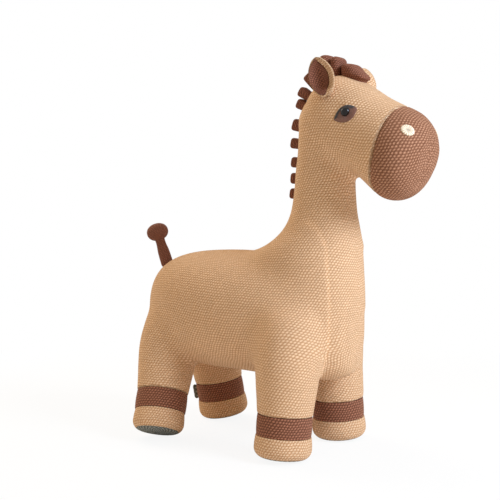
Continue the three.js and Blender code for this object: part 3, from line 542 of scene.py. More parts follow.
def turnedGrid(profile, matrix, sides=72):
    # A profile of radius and height pairs carried round the Z axis: (r cos a, r sin a, h)
    radius, height = np.asarray(profile, float).T[..., None]
    angle = fullTurn(sides)
    grid = np.stack([radius * np.cos(angle), radius * np.sin(angle),
                     np.broadcast_to(height, (len(radius), sides))], -1)
    return moved(grid, matrix)


def basis(middle, x, y, z):
    # A matrix with the given middle and the three given directions as its X, Y and Z
    matrix = np.eye(4)
    matrix[:3, :3] = np.stack([x, y, z], -1)
    matrix[:3, 3] = middle
    return matrix


def axisBasis(middle, axis):
    turn = np.array(Vector((0, 0, 1)).rotation_difference(Vector(axis)).to_matrix())
    return basis(middle, *turn.T)


def unit(vector):
    return np.asarray(vector, float) / np.linalg.norm(vector)


def leaning(back, toLeft):
    # A direction that leans from straight up, by angles in degrees, backwards and to the left
    return unit([-math.tan(math.radians(back)), math.tan(math.radians(toLeft)), 1])


# Body cover: the forms of torso, neck, head and legs, joined smoothly through their distance fields
def torsoChords():
    u = (1 - body["capShare"]) * np.sin(np.radians(np.linspace(-90, 90, 13)))
    # The stuffed brisket is fuller than the rump: it stays low until close to the chest
    ahead = np.clip(u, 0, 1)
    squareness = body["sideSquareness"] + (body["brisketSquareness"] - body["sideSquareness"]) * ahead
    bottom = body["bellyHeight"] - body["brisketDrop"] * ahead
    middle = body["rumpHeight"] + (body["chestHeight"] - body["rumpHeight"]) * (u + 1) / 2
    x = body["shift"] + u * body["length"] / 2
    width = body["hipWidth"] + (body["shoulderWidth"] - body["hipWidth"]) * (u + 1) / 2
    return np.stack([
        x, middle + (body["seatHeight"] - middle) * roundedShare(u, body["sideSquareness"]),
        x, middle - (middle - bottom) * roundedShare(u, squareness),
        width / 2 * roundedShare(u, body["planSquareness"])], -1)


neck = {"shift": 194, "rise": 297, "width": 131, "squareness": 2.1, "cap": 20}
# Share of the rise, then the rear and front edge ahead of the neck's middle in mm, and the width's share
neckRows = np.array([
    [-0.4, -90, 99, 1.5], [-0.2, -124, 105, 1.72], [0.0, -148, 103, 1.76], [0.05, -123, 105, 1.66],
    [0.12, -95, 101, 1.48], [0.2, -74, 98, 1.28], [0.32, -59, 92, 1.12], [0.47, -52, 89, 1.02],
    [0.65, -47, 87, 1], [0.85, -37, 83, 0.98], [1.0, -27, 66, 0.9],
])
neckHeights = body["seatHeight"] + neckRows[:, 0] * neck["rise"]
neckChords = np.stack([
    neck["shift"] + neckRows[:, 1], neckHeights, neck["shift"] + neckRows[:, 2], neckHeights,
    neckRows[:, 3] * neck["width"] / 2], -1)

head = {"shift": 62, "length": 238, "depth": 194, "width": 170, "squareness": 2.15, "cap": 16}
headMiddle = np.array([neck["shift"] + head["shift"], 0, body["seatHeight"] + neck["rise"]])
# The upper and the lower edge, each as a share of length and depth from the middle, and the width's share
headRows = np.array([
    [-0.3, 0.29, -0.34, -0.16, 0.5], [-0.215, 0.425, -0.3, -0.34, 0.76], [-0.1, 0.51, -0.22, -0.43, 0.92],
    [0.06, 0.525, -0.09, -0.475, 1], [0.27, 0.412, 0.09, -0.54, 1.02], [0.48, 0.248, 0.24, -0.66, 1.05],
    [0.66, 0.135, 0.425, -0.855, 1.115],
])
headChords = np.stack([
    headMiddle[0] + headRows[:, 0] * head["length"], headMiddle[2] + headRows[:, 1] * head["depth"],
    headMiddle[0] + headRows[:, 2] * head["length"], headMiddle[2] + headRows[:, 3] * head["depth"],
    headRows[:, 4] * head["width"] / 2], -1)

leg = {
    "ankleRadius": 61.5, "kneeRadius": 70, "hipRadius": 73, "footRadius": 65, "footHeight": 49,
    "footRounding": 22, "bandHeight": 46, "bandCrown": 1, "height": 262, "soleRadius": 54,
    "soleThickness": 4.7, "soleCrown": 3, "settle": 0.5, "seam": 0.3, "lip": 1.6, "bandInside": 52,
    "footInside": 50, "footTopOut": 1.4, "footWaist": 34,
}
footShare = {"front_right": 1, "front_left": 1, "rear_right": 0.955, "rear_left": 1}
stance = {
    "front_right": {"ahead": 184, "aside": -134, "splay": 5, "lean": -1},
    "front_left": {"ahead": 187, "aside": 117, "splay": 3, "lean": 2},
    "rear_right": {"ahead": -159, "aside": -159, "splay": 23.5, "lean": 9.5},
    "rear_left": {"ahead": -179, "aside": 141, "splay": 7, "lean": 7},
}
bandBottom = leg["footHeight"] + leg["seam"]
bandTop = bandBottom + leg["bandHeight"]
legBottom = bandTop + leg["seam"]


def footEdge(angle):
    # The foot's rounded lower edge, by the angle from straight down
    rounding = leg["footRounding"]
    return np.stack([leg["footRadius"] - rounding * (1 - np.sin(angle)), rounding * (1 - np.cos(angle))], -1)


soleEdge = math.asin((leg["soleRadius"] - leg["footRadius"] + leg["footRounding"]) / leg["footRounding"])


def soleProfile(rings=14):
    # Crowned like a shallow bowl in its middle, then following the foot's rounded edge
    share = np.linspace(0.02, 1, rings)
    flatRadius = leg["footRadius"] - leg["footRounding"]
    crown = np.stack([flatRadius * share, -leg["soleCrown"] * (1 - share ** 2)], -1)
    return np.vstack([crown, footEdge(np.linspace(0, soleEdge, 8)[1:])])


def legMatrix(name):
    # The leg's axis leans by its splay and lean, and its foot sinks until the sole settles on the floor
    place = stance[name]
    matrix = axisBasis((place["ahead"], place["aside"], 0),
                       leaning(place["lean"], -np.sign(place["aside"]) * place["splay"]))
    matrix[2, 3] = -leg["settle"] - turnedGrid(soleProfile(), matrix)[..., 2].min()
    return matrix


legFrames = {name: legMatrix(name) for name in stance}


# The cover's leg reaches further up inside the body than the collision solid, so that the hip flows out.
# The far front thigh is slimmer than the others.
thighShare = {"front_right": 1, "front_left": 0.92, "rear_right": 1, "rear_left": 1}
thigh = leg["height"] - legBottom
legProfile = smoothRows([
    [leg["ankleRadius"] - 1, legBottom], [leg["ankleRadius"] + 1, legBottom + 2],
    [(leg["ankleRadius"] + leg["kneeRadius"]) / 2, legBottom + thigh * 0.2],
    [leg["kneeRadius"], legBottom + thigh * 0.42], [leg["hipRadius"], legBottom + thigh * 0.66],
    [leg["hipRadius"] * 0.97, legBottom + thigh * 0.9], [leg["hipRadius"] * 0.86, legBottom + thigh * 1.12],
    [leg["hipRadius"] * 0.6, legBottom + thigh * 1.3], [leg["hipRadius"] * 0.1, legBottom + thigh * 1.36],
], np.linspace(0, 1, 40))

cover = {
    "voxel": 3.2, "band": 60, "low": (-330, -240, 60), "high": (470, 240, 900), "smoothing": 3,
    "neckBlend": 26, "legBlendOut": 50, "legBlendIn": 14, "foldAside": 40, "foldWidth": 14,
    "napeBlend": 34, "napeAhead": 20, "napeWidth": 16, "jawBlend": 13, "throatBlend": 47, "throatWidth": 42,
    "thighLow": 110, "thighHigh": 170, "underMuzzle": 2, "underJaw": 5, "underBand": 1.5,
}


def fieldOf(grid, low, shape, voxel, band):
    # Signed distance, in mm, from a closed surface, read into a block of voxels
    points, quads, triangles = capped(grid)
    level = vdb.FloatGrid.createLevelSetFromPolygons(
        points.astype(np.float32), triangles=triangles.astype(np.uint32), quads=quads.astype(np.uint32),
        transform=vdb.createLinearTransform(voxel), halfWidth=band / voxel)
    field = np.empty(shape, np.float32)
    level.copyToArray(field, ijk=tuple(int(v) for v in low))
    return field


def smoothUnion(a, b, reach):
    # The smaller distance, less a rounding where the two are within reach of each other
    share = np.maximum(reach - np.abs(a - b), 0) / reach
    return np.minimum(a, b) - share * share * reach / 4


def meshOf(field, low, voxel, band):
    level = vdb.FloatGrid(float(band))
    level.copyFromArray(field.astype(np.float32), ijk=tuple(int(v) for v in low))
    level.transform = vdb.createLinearTransform(voxel)
    points, quads = level.convertToQuads(0.0)
    return points.astype(float), quads.astype(np.int64)


def coverMesh():
    voxel, band = cover["voxel"], cover["band"]
    low = np.floor(np.array(cover["low"]) / voxel).astype(int)
    high = np.ceil(np.array(cover["high"]) / voxel).astype(int)
    shape = tuple(high - low)
    x, y, z = (np.arange(low[k], high[k]).reshape([-1 if k == m else 1 for m in range(3)]) * voxel
               for k in range(3))
    cap = body["capShare"] * body["length"] / 2
    grids = {
        "torso": stuffedGrid(torsoChords(), body["squareness"], cap, cap),
        "neck": stuffedGrid(neckChords, neck["squareness"], neck["cap"], neck["cap"]),
        "head": stuffedGrid(headChords, head["squareness"], head["cap"], 0),
    }
    fields = {name: fieldOf(grid, low, shape, voxel, band) for name, grid in grids.items()}
    skin = smoothUnion(fields["torso"], fields["neck"], cover["neckBlend"])
    for name, matrix in legFrames.items():
        onThigh = between(legProfile[:, 1], cover["thighLow"], cover["thighHigh"])
        slimmer = 1 - (1 - thighShare[name]) * onThigh
        profile = legProfile * np.stack([slimmer, np.ones_like(slimmer)], -1)
        legField = fieldOf(turnedGrid(profile, matrix), low, shape, voxel, band)
        # Outside, the leg flows into the flank; inside, a tighter fold stays between leg and belly
        aside = stance[name]["aside"]
        outside = softStep(np.sign(aside) * y - abs(aside) + cover["foldAside"], cover["foldWidth"])
        skin = smoothUnion(skin, legField, cover["legBlendIn"]
                           + (cover["legBlendOut"] - cover["legBlendIn"]) * outside)
    # The nape and the throat flow into the head, and the jaw keeps its fold
    nape = softStep(neck["shift"] + cover["napeAhead"] - x, cover["napeWidth"])
    throat = bell(y, cover["throatWidth"]) * (1 - nape)
    skin = smoothUnion(skin, fields["head"], cover["jawBlend"]
                       + (cover["napeBlend"] - cover["jawBlend"]) * nape
                       + (cover["throatBlend"] - cover["jawBlend"]) * throat)
    return meshOf(skin, low, voxel, band)


coverPoints, coverQuads = coverMesh()
coverI, coverJ = edgePairs(coverQuads, noTriangles, len(coverPoints))
coverPoints = averaged(coverPoints, coverI, coverJ, cover["smoothing"])

# Each pair of limits is where the smoothing has no share and where it has its full one
withers = {"passes": 260, "low": (310, 380), "high": (570, 500), "rear": (-20, 40), "chest": (225, 285),
           "chestShare": 0.8}


def smoothWithers(points):
    # Round the foot of the neck the cloth is stretched smooth, less so in front of the chest
    x, y, z = points.T
    share = between(z, *withers["low"]) * between(z, *withers["high"]) * between(x, *withers["rear"])
    share = share * (1 - withers["chestShare"] * between(x, *withers["chest"]))
    return points + share[:, None] * (averaged(points, coverI, coverJ, withers["passes"]) - points)


coverPoints = smoothWithers(coverPoints)

# Limits of the seams, in pairs as above, and the reach of the eye's and the brow's pull
seams = {
    "gusset": 79, "width": 2.8, "chestDepth": 1.2, "chestAhead": (190, 215), "chestTop": (620, 595),
    "chestFoot": (150, 175), "backDepth": 1.2, "backShare": 0.4, "facing": (0.1, 0.35), "backAbove": 380,
    "backUntil": 290, "eyeDepth": 3.4, "eyeReach": 17, "browHeight": 2.2, "browReach": 12,
}
eye = {
    "ahead": 57, "rise": 12, "length": 58, "height": 37, "tilt": 22, "thickness": 2.4, "patchBack": 3,
    "patchDrop": 5, "beadRadius": 10.2, "beadDome": 8, "beadRim": 1.5,
}


def pressSeams(points):
    # A seam presses a groove into the cover: depth * exp(-(distance / width) squared), along the normal.
    # One runs down each side of the chest, and one along the middle of the back and the nape. Each eye
    # pulls the cover in round it in the same way, and the cloth bulges a little above it.
    normals = averaged(vertexNormals(points, coverQuads, noTriangles), coverI, coverJ, 3)
    x, y, z = points.T
    onChest = between(z, *seams["chestTop"]) * between(z, *seams["chestFoot"])
    onChest = onChest * between(x, *seams["chestAhead"])
    chest = onChest * bell(np.abs(y) - seams["gusset"], seams["width"])
    onBack = between(normals[:, 2], *seams["facing"]) + between(-normals[:, 0], *seams["facing"])
    onBack = np.clip(onBack, 0, 1) * (z > seams["backAbove"]) * (x < seams["backUntil"])
    back = onBack * bell(y, seams["width"])
    depth = seams["chestDepth"] * chest + seams["backDepth"] * back
    for side in (-1, 1):
        middle = headMiddle + (eye["ahead"] - eye["patchBack"], side * head["width"] / 2,
                               eye["rise"] - eye["patchDrop"])
        away = np.linalg.norm((points - middle) * (0.8, 0.5, 1.15), axis=1)
        depth += seams["eyeDepth"] * bell(away, seams["eyeReach"])
        brow = np.linalg.norm((points - middle - (6, 0, 24)) * (0.6, 0.5, 1.3), axis=1)
        depth -= seams["browHeight"] * bell(brow, seams["browReach"])
    return points - normals * depth[:, None], np.maximum(chest, back * seams["backShare"])


def headEnd():
    # The head's last section in the mid plane: its middle, half of its chord, and the direction ahead of it
    top, bottom = headChords[-1][[0, 1]], headChords[-1][[2, 3]]
    half = (top - bottom) / 2
    return (top + bottom) / 2, half, unit([half[1], -half[0]])


def openCover():
    # The points of the cover that aren't on its hidden ends, under the muzzle and inside the bands
    middle, half, ahead = headEnd()
    bottom = middle - half
    shown = (coverPoints[:, [0, 2]] - bottom) @ ahead < -cover["underMuzzle"]
    shown |= coverPoints[:, 2] < bottom[1] - cover["underJaw"]
    for matrix in legFrames.values():
        away = coverPoints - matrix[:3, 3]
        rise = away @ matrix[:3, 2]
        aside = np.linalg.norm(away - rise[:, None] * matrix[:3, 2], axis=1)
        shown &= (rise > legBottom + cover["underBand"]) | (aside > leg["kneeRadius"])
    return shown


print("body cover", len(coverPoints), "points")
coverQuads, _ = outwardFaces(coverPoints, coverQuads, noTriangles)
coverPoints, seamShare = pressSeams(coverPoints)
knittedCover = knitPiece(
    "knitted_cover", placed(coverPoints), coverQuads, noTriangles, beigeKnit, openCover(), 700)
seamValues = knittedCover.data.attributes.new("seam", "FLOAT", "POINT").data
seamValues.foreach_set("value", seamShare.astype(np.float32))
print("body cover laid with cloth")
dress(knittedCover, ["torso", "neck", "head", *["leg_" + name for name in stance]])


# Muzzle: starts on the head's last section, swells a little and rounds off at the nose
muzzle = {
    "length": 87, "width": 194, "squareness": 2.15, "noseCap": 0.06, "seamDepth": 1.8, "seamWidth": 3,
    "sewnEdge": [0.93, 0.965, 0.985, 0.996],
}
# Share of the length, then top, bottom and width as shares of the head's last section and of the width
muzzleRows = np.array([
    [0, 0, 0, 0.977], [0.2, -0.012, -0.021, 0.992], [0.44, -0.041, -0.011, 0.97],
    [0.67, -0.103, 0.042, 0.876], [0.85, -0.178, 0.134, 0.698], [0.96, -0.258, 0.27, 0.53],
])


def muzzleGrid():
    middle, half, ahead = headEnd()
    shift = middle + ahead * (leg["seam"] + muzzleRows[:, [0]] * muzzle["length"])
    chords = np.hstack([
        shift + half * (1 + 2 * muzzleRows[:, [1]]), shift + half * (-1 + 2 * muzzleRows[:, [2]]),
        muzzleRows[:, [3]] * muzzle["width"] / 2])
    cap = muzzle["noseCap"] * muzzle["length"]
    grid = stuffedGrid(chords, muzzle["squareness"], 0, cap, rings=64, sides=208)
    # The sewn edge turns inwards over the first rings
    turned = np.array(muzzle["sewnEdge"])[:, None, None]
    hub = grid[:4].mean(1, keepdims=True)
    grid[:4] = hub + (grid[:4] - hub) * turned
    # The middle seam down the front of the nose: depth * exp(-(y / width) squared), towards the middle
    inwards = grid.mean((0, 1)) - grid
    inwards /= np.linalg.norm(inwards, axis=2, keepdims=True)
    return grid + inwards * muzzle["seamDepth"] * bell(grid[..., [1]], muzzle["seamWidth"])


muzzlePoints, muzzleQuads, muzzleTriangles = capped(muzzleGrid())
inFront = np.arange(len(muzzlePoints)) != len(muzzlePoints) - 2  # all but the middle of the hidden back
muzzleCover = knitPiece(
    "muzzle_cover", placed(muzzlePoints), muzzleQuads, muzzleTriangles, roseKnit, inFront, 400)
dress(muzzleCover, ["muzzle"])


# Feet: a brown band, a beige foot and a grey canvas sole on each leg
def lippedBand():
    # A knitted band with soft rolled edges; its hidden inside is a plain wall
    angle = np.radians(np.linspace(-90, 0, 6))
    radius, lip, inner = leg["ankleRadius"], leg["lip"], leg["bandInside"]
    bottom = np.stack([radius - lip + lip * np.cos(angle), bandBottom + lip + lip * np.sin(angle)], -1)
    top = np.stack([bottom[::-1, 0], bandTop - (bottom[::-1, 1] - bandBottom)], -1)
    height = np.linspace(bandBottom + lip, bandTop - lip, 8)[1:-1]
    share = (height - bandBottom) / leg["bandHeight"]
    side = np.stack([radius + 4 * leg["bandCrown"] * share * (1 - share), height], -1)
    return np.vstack([[[inner, bandBottom]], bottom, side, top, [[inner, bandTop]]])


def footProfile():
    # The rounded edge, the side and a rolled top, closed by a plain wall inside
    angle = np.radians(np.linspace(0, 90, 6))
    lip, inner, topRadius = leg["lip"], leg["footInside"], leg["ankleRadius"] + leg["footTopOut"]
    edge = footEdge(np.linspace(soleEdge + 0.03, math.pi / 2, 12))
    side = smoothRows([[leg["footRadius"], leg["footRounding"]], [leg["footRadius"] - 0.4, leg["footWaist"]],
                       [topRadius, leg["footHeight"] - lip]], np.linspace(0, 1, 7))[1:]
    top = np.stack([topRadius - lip + lip * np.cos(angle),
                    leg["footHeight"] - lip + lip * np.sin(angle)], -1)[1:]
    underSole = [[inner, edge[0, 1] + 2.5], edge[0] + (-1.2, 1.0)]
    return np.vstack([underSole, edge, side, top, [[inner, leg["footHeight"]]]])


def onFloor(profile, name):
    # Turned about the leg's axis, and pressed flat where it would go through the floor
    grid = turnedGrid(profile * (footShare[name], 1), legFrames[name])
    grid[..., 2] = np.maximum(grid[..., 2], 0)
    return grid


soleInside = [[leg["soleRadius"] - 0.5, leg["soleThickness"]], [1, leg["soleThickness"]]]
for name, matrix in legFrames.items():
    dress(ringPiece("knitted_band_" + name, turnedGrid(lippedBand(), matrix), brownKnit, closed=True),
          ["band_" + name])
    dress(ringPiece("knitted_foot_" + name, onFloor(footProfile(), name), beigeKnit, closed=True),
          ["foot_" + name])
    sole = onFloor(np.vstack([soleProfile(), soleInside]), name)
    dress(ringPiece("canvas_sole_" + name, sole, greyCanvas), ["sole_" + name])
print("muzzle and feet made")


# Trim on the skin: patches and embroidery follow a smooth fit of the skin round their place
def skinPlace(points, target, reach=45):
    # The nearest skin to the target, the plane through the skin round it, and the skin's height over that
    # plane as the best cubic in the plane's two directions
    near = points[np.linalg.norm(points - target, axis=1) < reach + 30]
    middle = near[np.linalg.norm(near - target, axis=1).argmin()]
    patch = near[np.linalg.norm(near - middle, axis=1) < reach / 2]
    out = np.linalg.svd(patch - patch.mean(0))[2][2]
    out = out * np.sign(out[1] * target[1])
    ahead = unit(np.array([1, 0, 0]) - out * out[0])
    above = np.cross(out, ahead)
    above = above if above[2] > 0 else -above
    patch = near[np.linalg.norm(near - middle, axis=1) < reach]
    x, y, h = ((patch - middle) @ np.stack([ahead, above, out], -1)).T

    def powers(x, y):
        return np.stack([x ** a * y ** b for a in range(4) for b in range(4 - a)], -1)

    weights = np.linalg.lstsq(powers(x, y), h, rcond=None)[0]
    return basis(middle, ahead, above, out), lambda x, y: powers(x, y) @ weights


def padGrid(place, skin, outline, profile, tilt=0, move=(0, 0)):
    # Rings of an outline (x, y), each ring a share of it, moved and tilted in the skin's plane, at a height
    # over the skin. Profile gives the share and the height of each ring.
    turn = math.radians(tilt)
    flatX = profile[:, 0, None] * outline[:, 0] + move[0]
    flatY = profile[:, 0, None] * outline[:, 1] + move[1]
    x = flatX * math.cos(turn) - flatY * math.sin(turn)
    y = flatX * math.sin(turn) + flatY * math.cos(turn)
    return moved(np.stack([x, y, skin(x, y) + profile[:, 1, None]], -1), place)


def almondOutline(sides=96):
    # Two curved lids, each a cubic Bezier between the corners of the eye
    half, full = eye["length"] / 2, eye["height"]
    t = np.linspace(0, 1, sides // 2 + 1)[:-1, None]
    lids = [((-1, 0), (-0.4, 0.62), (0.52, 0.76), (1, 0.06)),
            ((1, 0.06), (0.68, -0.6), (-0.32, -0.7), (-1, 0))]
    curves = [(1 - t) ** 3 * np.array(a) + 3 * t * (1 - t) ** 2 * np.array(b)
              + 3 * t * t * (1 - t) * np.array(c) + t ** 3 * np.array(d) for a, b, c, d in lids]
    return np.vstack(curves) * (half, full)


def beadProfile():
    # A safety eye: a dome on a low rim, and a shank behind it
    dome = np.radians(np.linspace(90, 0, 14))
    radius, base = eye["beadRadius"], eye["thickness"] + 0.2
    face = np.stack([radius * np.cos(dome), base + eye["beadRim"] + eye["beadDome"] * np.sin(dome)], -1)
    face[0, 0] = 0.02
    shank = [[radius, base], [radius - 0.6, base - 0.5], [2.6, base - 0.6], [2.5, -16], [0.5, -16.5]]
    return np.vstack([face, shank])


# Share of the outline and share of the thickness, ring by ring from the middle round the rim to the back
rimProfile = np.array([
    [0.02, 1], [0.2, 1], [0.4, 1], [0.6, 1], [0.75, 1], [0.86, 0.98], [0.93, 0.86], [0.975, 0.6], [1, 0.15],
    [0.99, -0.5], [0.9, -1], [0.02, -1],
])
for side, name in ((-1, "right"), (1, "left")):
    target = headMiddle + (eye["ahead"], side * head["width"] / 2, eye["rise"])
    place, skin = skinPlace(coverPoints, target)
    patch = padGrid(place, skin, almondOutline(), rimProfile * (1, eye["thickness"]), eye["tilt"],
                    (-eye["patchBack"], -eye["patchDrop"]))
    dress(ringPiece("eye_felt_" + name, patch, brownFelt, rays=True), ["eye_patch_" + name])
    bead = turnedGrid(beadProfile(), place, 48)
    dress(ringPiece("eye_dome_" + name, bead, blackPlastic),
          ["eye_bead_" + name])

nostril = {
    "ahead": 207, "aside": {"right": 77, "left": 68}, "rise": -27, "length": 31, "height": 25,
    "thickness": 2.6,
}
# A padded ring of satin stitches round a lower middle
ringProfile = np.array([
    [0.02, 0.35], [0.15, 0.38], [0.3, 0.5], [0.42, 0.75], [0.55, 0.95], [0.68, 1], [0.8, 0.97], [0.9, 0.8],
    [0.97, 0.5], [1, 0.05], [0.98, -0.5], [0.9, -1], [0.02, -1],
])
oval = fullTurn(96)
ovalOutline = np.stack([nostril["length"] / 2 * np.cos(oval), nostril["height"] / 2 * np.sin(oval)], -1)
for side, name in ((-1, "right"), (1, "left")):
    target = headMiddle + (nostril["ahead"], side * nostril["aside"][name], nostril["rise"])
    place, skin = skinPlace(muzzlePoints, target, 32)
    rosette = padGrid(place, skin, ovalOutline, ringProfile * (1, nostril["thickness"]))
    dress(ringPiece("stitched_nostril_" + name, rosette, creamYarn, rays=True),
          ["nostril_" + name])
print("eyes and nostrils made")


# Joints of the ears and the tail, in mm of the horse
jointPlaces = {joint["name"]: (np.array(joint["pos_m"]) - feetMiddle) / mm for joint in frame["joints"]}

ear = {
    "length": 79, "width": 53, "hollow": 16, "wall": 6.5, "rim": 0.85, "rootDepth": 13, "rootThickness": 15,
    "rootReach": 0.12, "tip": (0.93, 1.005), "curlIn": -3, "curlUp": 7, "curlPlace": 0.2, "curlReach": 0.3,
    "drop": 60, "dropFrom": 0.25,
}
lining = {"thickness": 4.2, "front": 11, "rear": -1.2, "start": -0.1, "end": 0.97, "lift": 1.4}
earPose = {"right": {"back": 16, "out": 5, "open": 10}, "left": {"back": 15, "out": 25, "open": -25}}
# Share of the length, half width and hollow as shares of the full ones
earRows = np.array([
    [0.0, 0.7, 0.1], [0.1, 0.8, 0.5], [0.2, 0.88, 0.85], [0.32, 0.96, 1.0], [0.46, 1.0, 1.0],
    [0.6, 0.92, 0.95], [0.74, 0.76, 0.75], [0.86, 0.54, 0.45], [0.95, 0.32, 0.2], [1.0, 0.16, 0.05],
])


def earMatrix(name, side):
    pose = earPose[name]
    along = leaning(pose["back"], side * pose["out"])
    opening = np.array([math.sin(math.radians(pose["open"])), side * math.cos(math.radians(pose["open"])), 0])
    opening = unit(opening - along * (opening @ along))
    return basis(jointPlaces[name + "_ear_fold"], np.cross(opening, along), opening, along)


def cupPoints(share, across, offset, halfWidth, hollow, side, matrix):
    # The cup is a parabola across the ear, y = hollow ((x / half) squared - 1), and a layer of cloth lies at
    # an offset along its normal. The front edge curls up over the cup, most in the lower half, and the root
    # sweeps out over the side of the head. Share is how far along the ear's length a ring lies.
    share = share[:, None]
    slope = np.arctan(2 * hollow * across / halfWidth ** 2)
    front = np.clip(side * across / halfWidth, 0, 1) ** 3 * bell(share - ear["curlPlace"], ear["curlReach"])
    drop = ear["drop"] * np.clip(ear["dropFrom"] - share, 0, 1) ** 2
    x = across - offset * np.sin(slope) - side * ear["curlIn"] * front
    y = hollow * ((across / halfWidth) ** 2 - 1) + offset * np.cos(slope) + ear["curlUp"] * front + drop
    return moved(np.stack(np.broadcast_arrays(x, y, share * ear["length"]), -1), matrix)


def earSections(share):
    # Half width and hollow, in mm, at each share of the length
    place = np.interp(np.clip(share, 0, 1), earRows[:, 0], np.linspace(0, 1, len(earRows)))
    width, depth = smoothRows(earRows[:, 1:], place).T
    return (width * ear["width"] / 2)[:, None], (depth * ear["hollow"])[:, None]


def earShell(matrix, side, sides=80):
    # Each ring is a flat oval bent on the cup; the wall swells to a rolled front rim and to a round root
    below = np.radians(np.linspace(-88, 0, 8))[:-1]
    share = np.concatenate([ear["rootDepth"] * np.sin(below) / ear["length"], np.linspace(0, 1, 48)])
    root = np.concatenate([np.cos(below), np.ones(48)])[:, None]
    half, hollow = earSections(share)
    tip = np.sqrt(np.maximum(1 - between(share, *ear["tip"]) ** 2, 0.004))[:, None]
    a, b = squaredTurn(fullTurn(sides), 4.5, 2.2)
    swell = bell(np.maximum(share, 0), ear["rootReach"])[:, None]
    edge = np.where(a * side > 0, 1 + ear["rim"] * np.abs(a) ** 6, 1 - 0.4 * np.abs(a) ** 4)
    wall = (ear["wall"] + (ear["rootThickness"] - ear["wall"]) * swell) * root * (swell + (1 - swell) * edge)
    across = a * half * root * np.maximum(tip, 0.3)
    offset = -ear["wall"] / 2 * (1 - swell) - 0.42 * ear["rootThickness"] * swell + b * wall / 2 * tip
    return cupPoints(share, across, offset, half, hollow, side, matrix)


def earLining(matrix, side, sides=72):
    # A thin pad in the cup, over the rear edge and drawn in from the rolled front rim
    along = (1 - np.cos(np.linspace(0.02, np.pi - 0.02, 44))) / 2
    share = lining["start"] + (lining["end"] - lining["start"]) * along
    half, hollow = earSections(share)
    rounding = (1 - np.abs(2 * along - 1) ** 4)[:, None] ** 0.5
    a, b = squaredTurn(fullTurn(sides), 3, 2.4)
    margin = np.where(a * side > 0, lining["front"], lining["rear"]) * np.abs(a)
    across = (a * half - np.sign(a) * margin) * rounding
    offset = lining["lift"] + b * lining["thickness"] / 2 * (0.3 + 0.7 * rounding)
    return cupPoints(share, across, offset, half, hollow, side, matrix)


for side, name in ((-1, "right"), (1, "left")):
    matrix = earMatrix(name, side)
    dress(ringPiece("knitted_ear_" + name, earShell(matrix, side), beigeKnit),
          ["ear_" + name], name + "_ear")
    dress(ringPiece("ear_cloth_" + name, earLining(matrix, side), fineBrownKnit),
          ["ear_lining_" + name], name + "_ear")
print("ears made")


# Mane: eight stuffed lobes sewn into the seam of the nape, and the forelock, four lobes grown together
mane = {
    "width": 30, "height": [25, 26, 25, 25, 28, 24, 24, 25], "sink": 12, "rounding": 5, "squareness": 3.8,
    "reach": [18, 19, 22, 31, 36, 38, 42, 46], "place": [0.12, 0.23, 0.34, 0.47, 0.587, 0.722, 0.792, 0.87],
    "lift": [0, 0, 0, 0, 3, 10, 11, 5],
}
forelock = {
    "width": 54, "lobe": [32, 26, 40, 48], "reach": [56, 43, 26, 17], "place": [0.205, 0.3, 0.41, 0.5],
    "lean": [5, -2, -14, -24], "rounding": 12, "squareness": 2.5, "blend": 3, "longBlend": 22,
    "voxel": 1.5, "band": 24, "margin": 12,
}


def alongCurve(points, shares):
    # Places and directions at shares of the length of the smooth curve through points in the mid plane
    t = np.linspace(0, 1, 600)
    curve = smoothRows(points, t)
    length = np.concatenate([[0], np.cumsum(np.linalg.norm(np.diff(curve, axis=0), axis=1))])
    wanted = np.interp(np.asarray(shares) * length[-1], length, t)
    ahead = smoothRows(points, wanted + 0.002) - smoothRows(points, wanted - 0.002)
    return smoothRows(points, wanted), ahead / np.linalg.norm(ahead, axis=1, keepdims=True)


def lobeMatrix(root, out):
    # Z points out of the skin in the mid plane, and Y along it
    along = unit(np.cross([0, 1, 0], out))
    return basis(root, np.cross(along, out), along, out)


def lobeGrid(width, height, reach, matrix, rounding, squareness, sides=48):
    # Rounded-square rings that widen from the root and roll over at the end by a quarter circle
    rise = np.linspace(-mane["sink"], reach - rounding, 14)
    size = np.interp(rise / reach, [-1, 0, 0.45, 0.8], [0.76, 0.76, 0.92, 1])
    turn = np.radians(np.linspace(0, 84, 8))[1:]
    rise = np.concatenate([rise, reach - rounding + rounding * np.sin(turn)])
    drawn = np.concatenate([np.zeros(14), rounding * (1 - np.cos(turn))])
    size = np.concatenate([size, np.ones(7)])
    across, along = squaredTurn(fullTurn(sides) + np.pi / sides, squareness, squareness)
    x = (size * width / 2 - drawn)[:, None] * across
    y = (size * height / 2 - drawn)[:, None] * along
    return moved(np.stack(np.broadcast_arrays(x, y, rise[:, None]), -1), matrix)


crest = np.vstack([smoothRows(neckChords[:, :2], np.array([0.6, 0.7, 0.8, 0.9, 0.97])),
                   smoothRows(headChords[:, :2], np.array([0, 1 / 6, 1 / 3]))])
roots, directions = alongCurve(crest, mane["place"])
for i, (root, ahead) in enumerate(zip(roots, directions)):
    upwards = np.array([ahead[0], 0, ahead[1]])
    out = np.cross(upwards, [0, 1, 0]) + upwards * math.tan(math.radians(mane["lift"][i]))
    grid = lobeGrid(mane["width"], mane["height"][i], mane["reach"][i],
                    lobeMatrix([root[0], 0, root[1]], unit(out)), mane["rounding"], mane["squareness"])
    dress(ringPiece(f"mane_lobe_{i + 1}", grid, fineBrownKnit), [f"mane_tab_{i + 1}"])


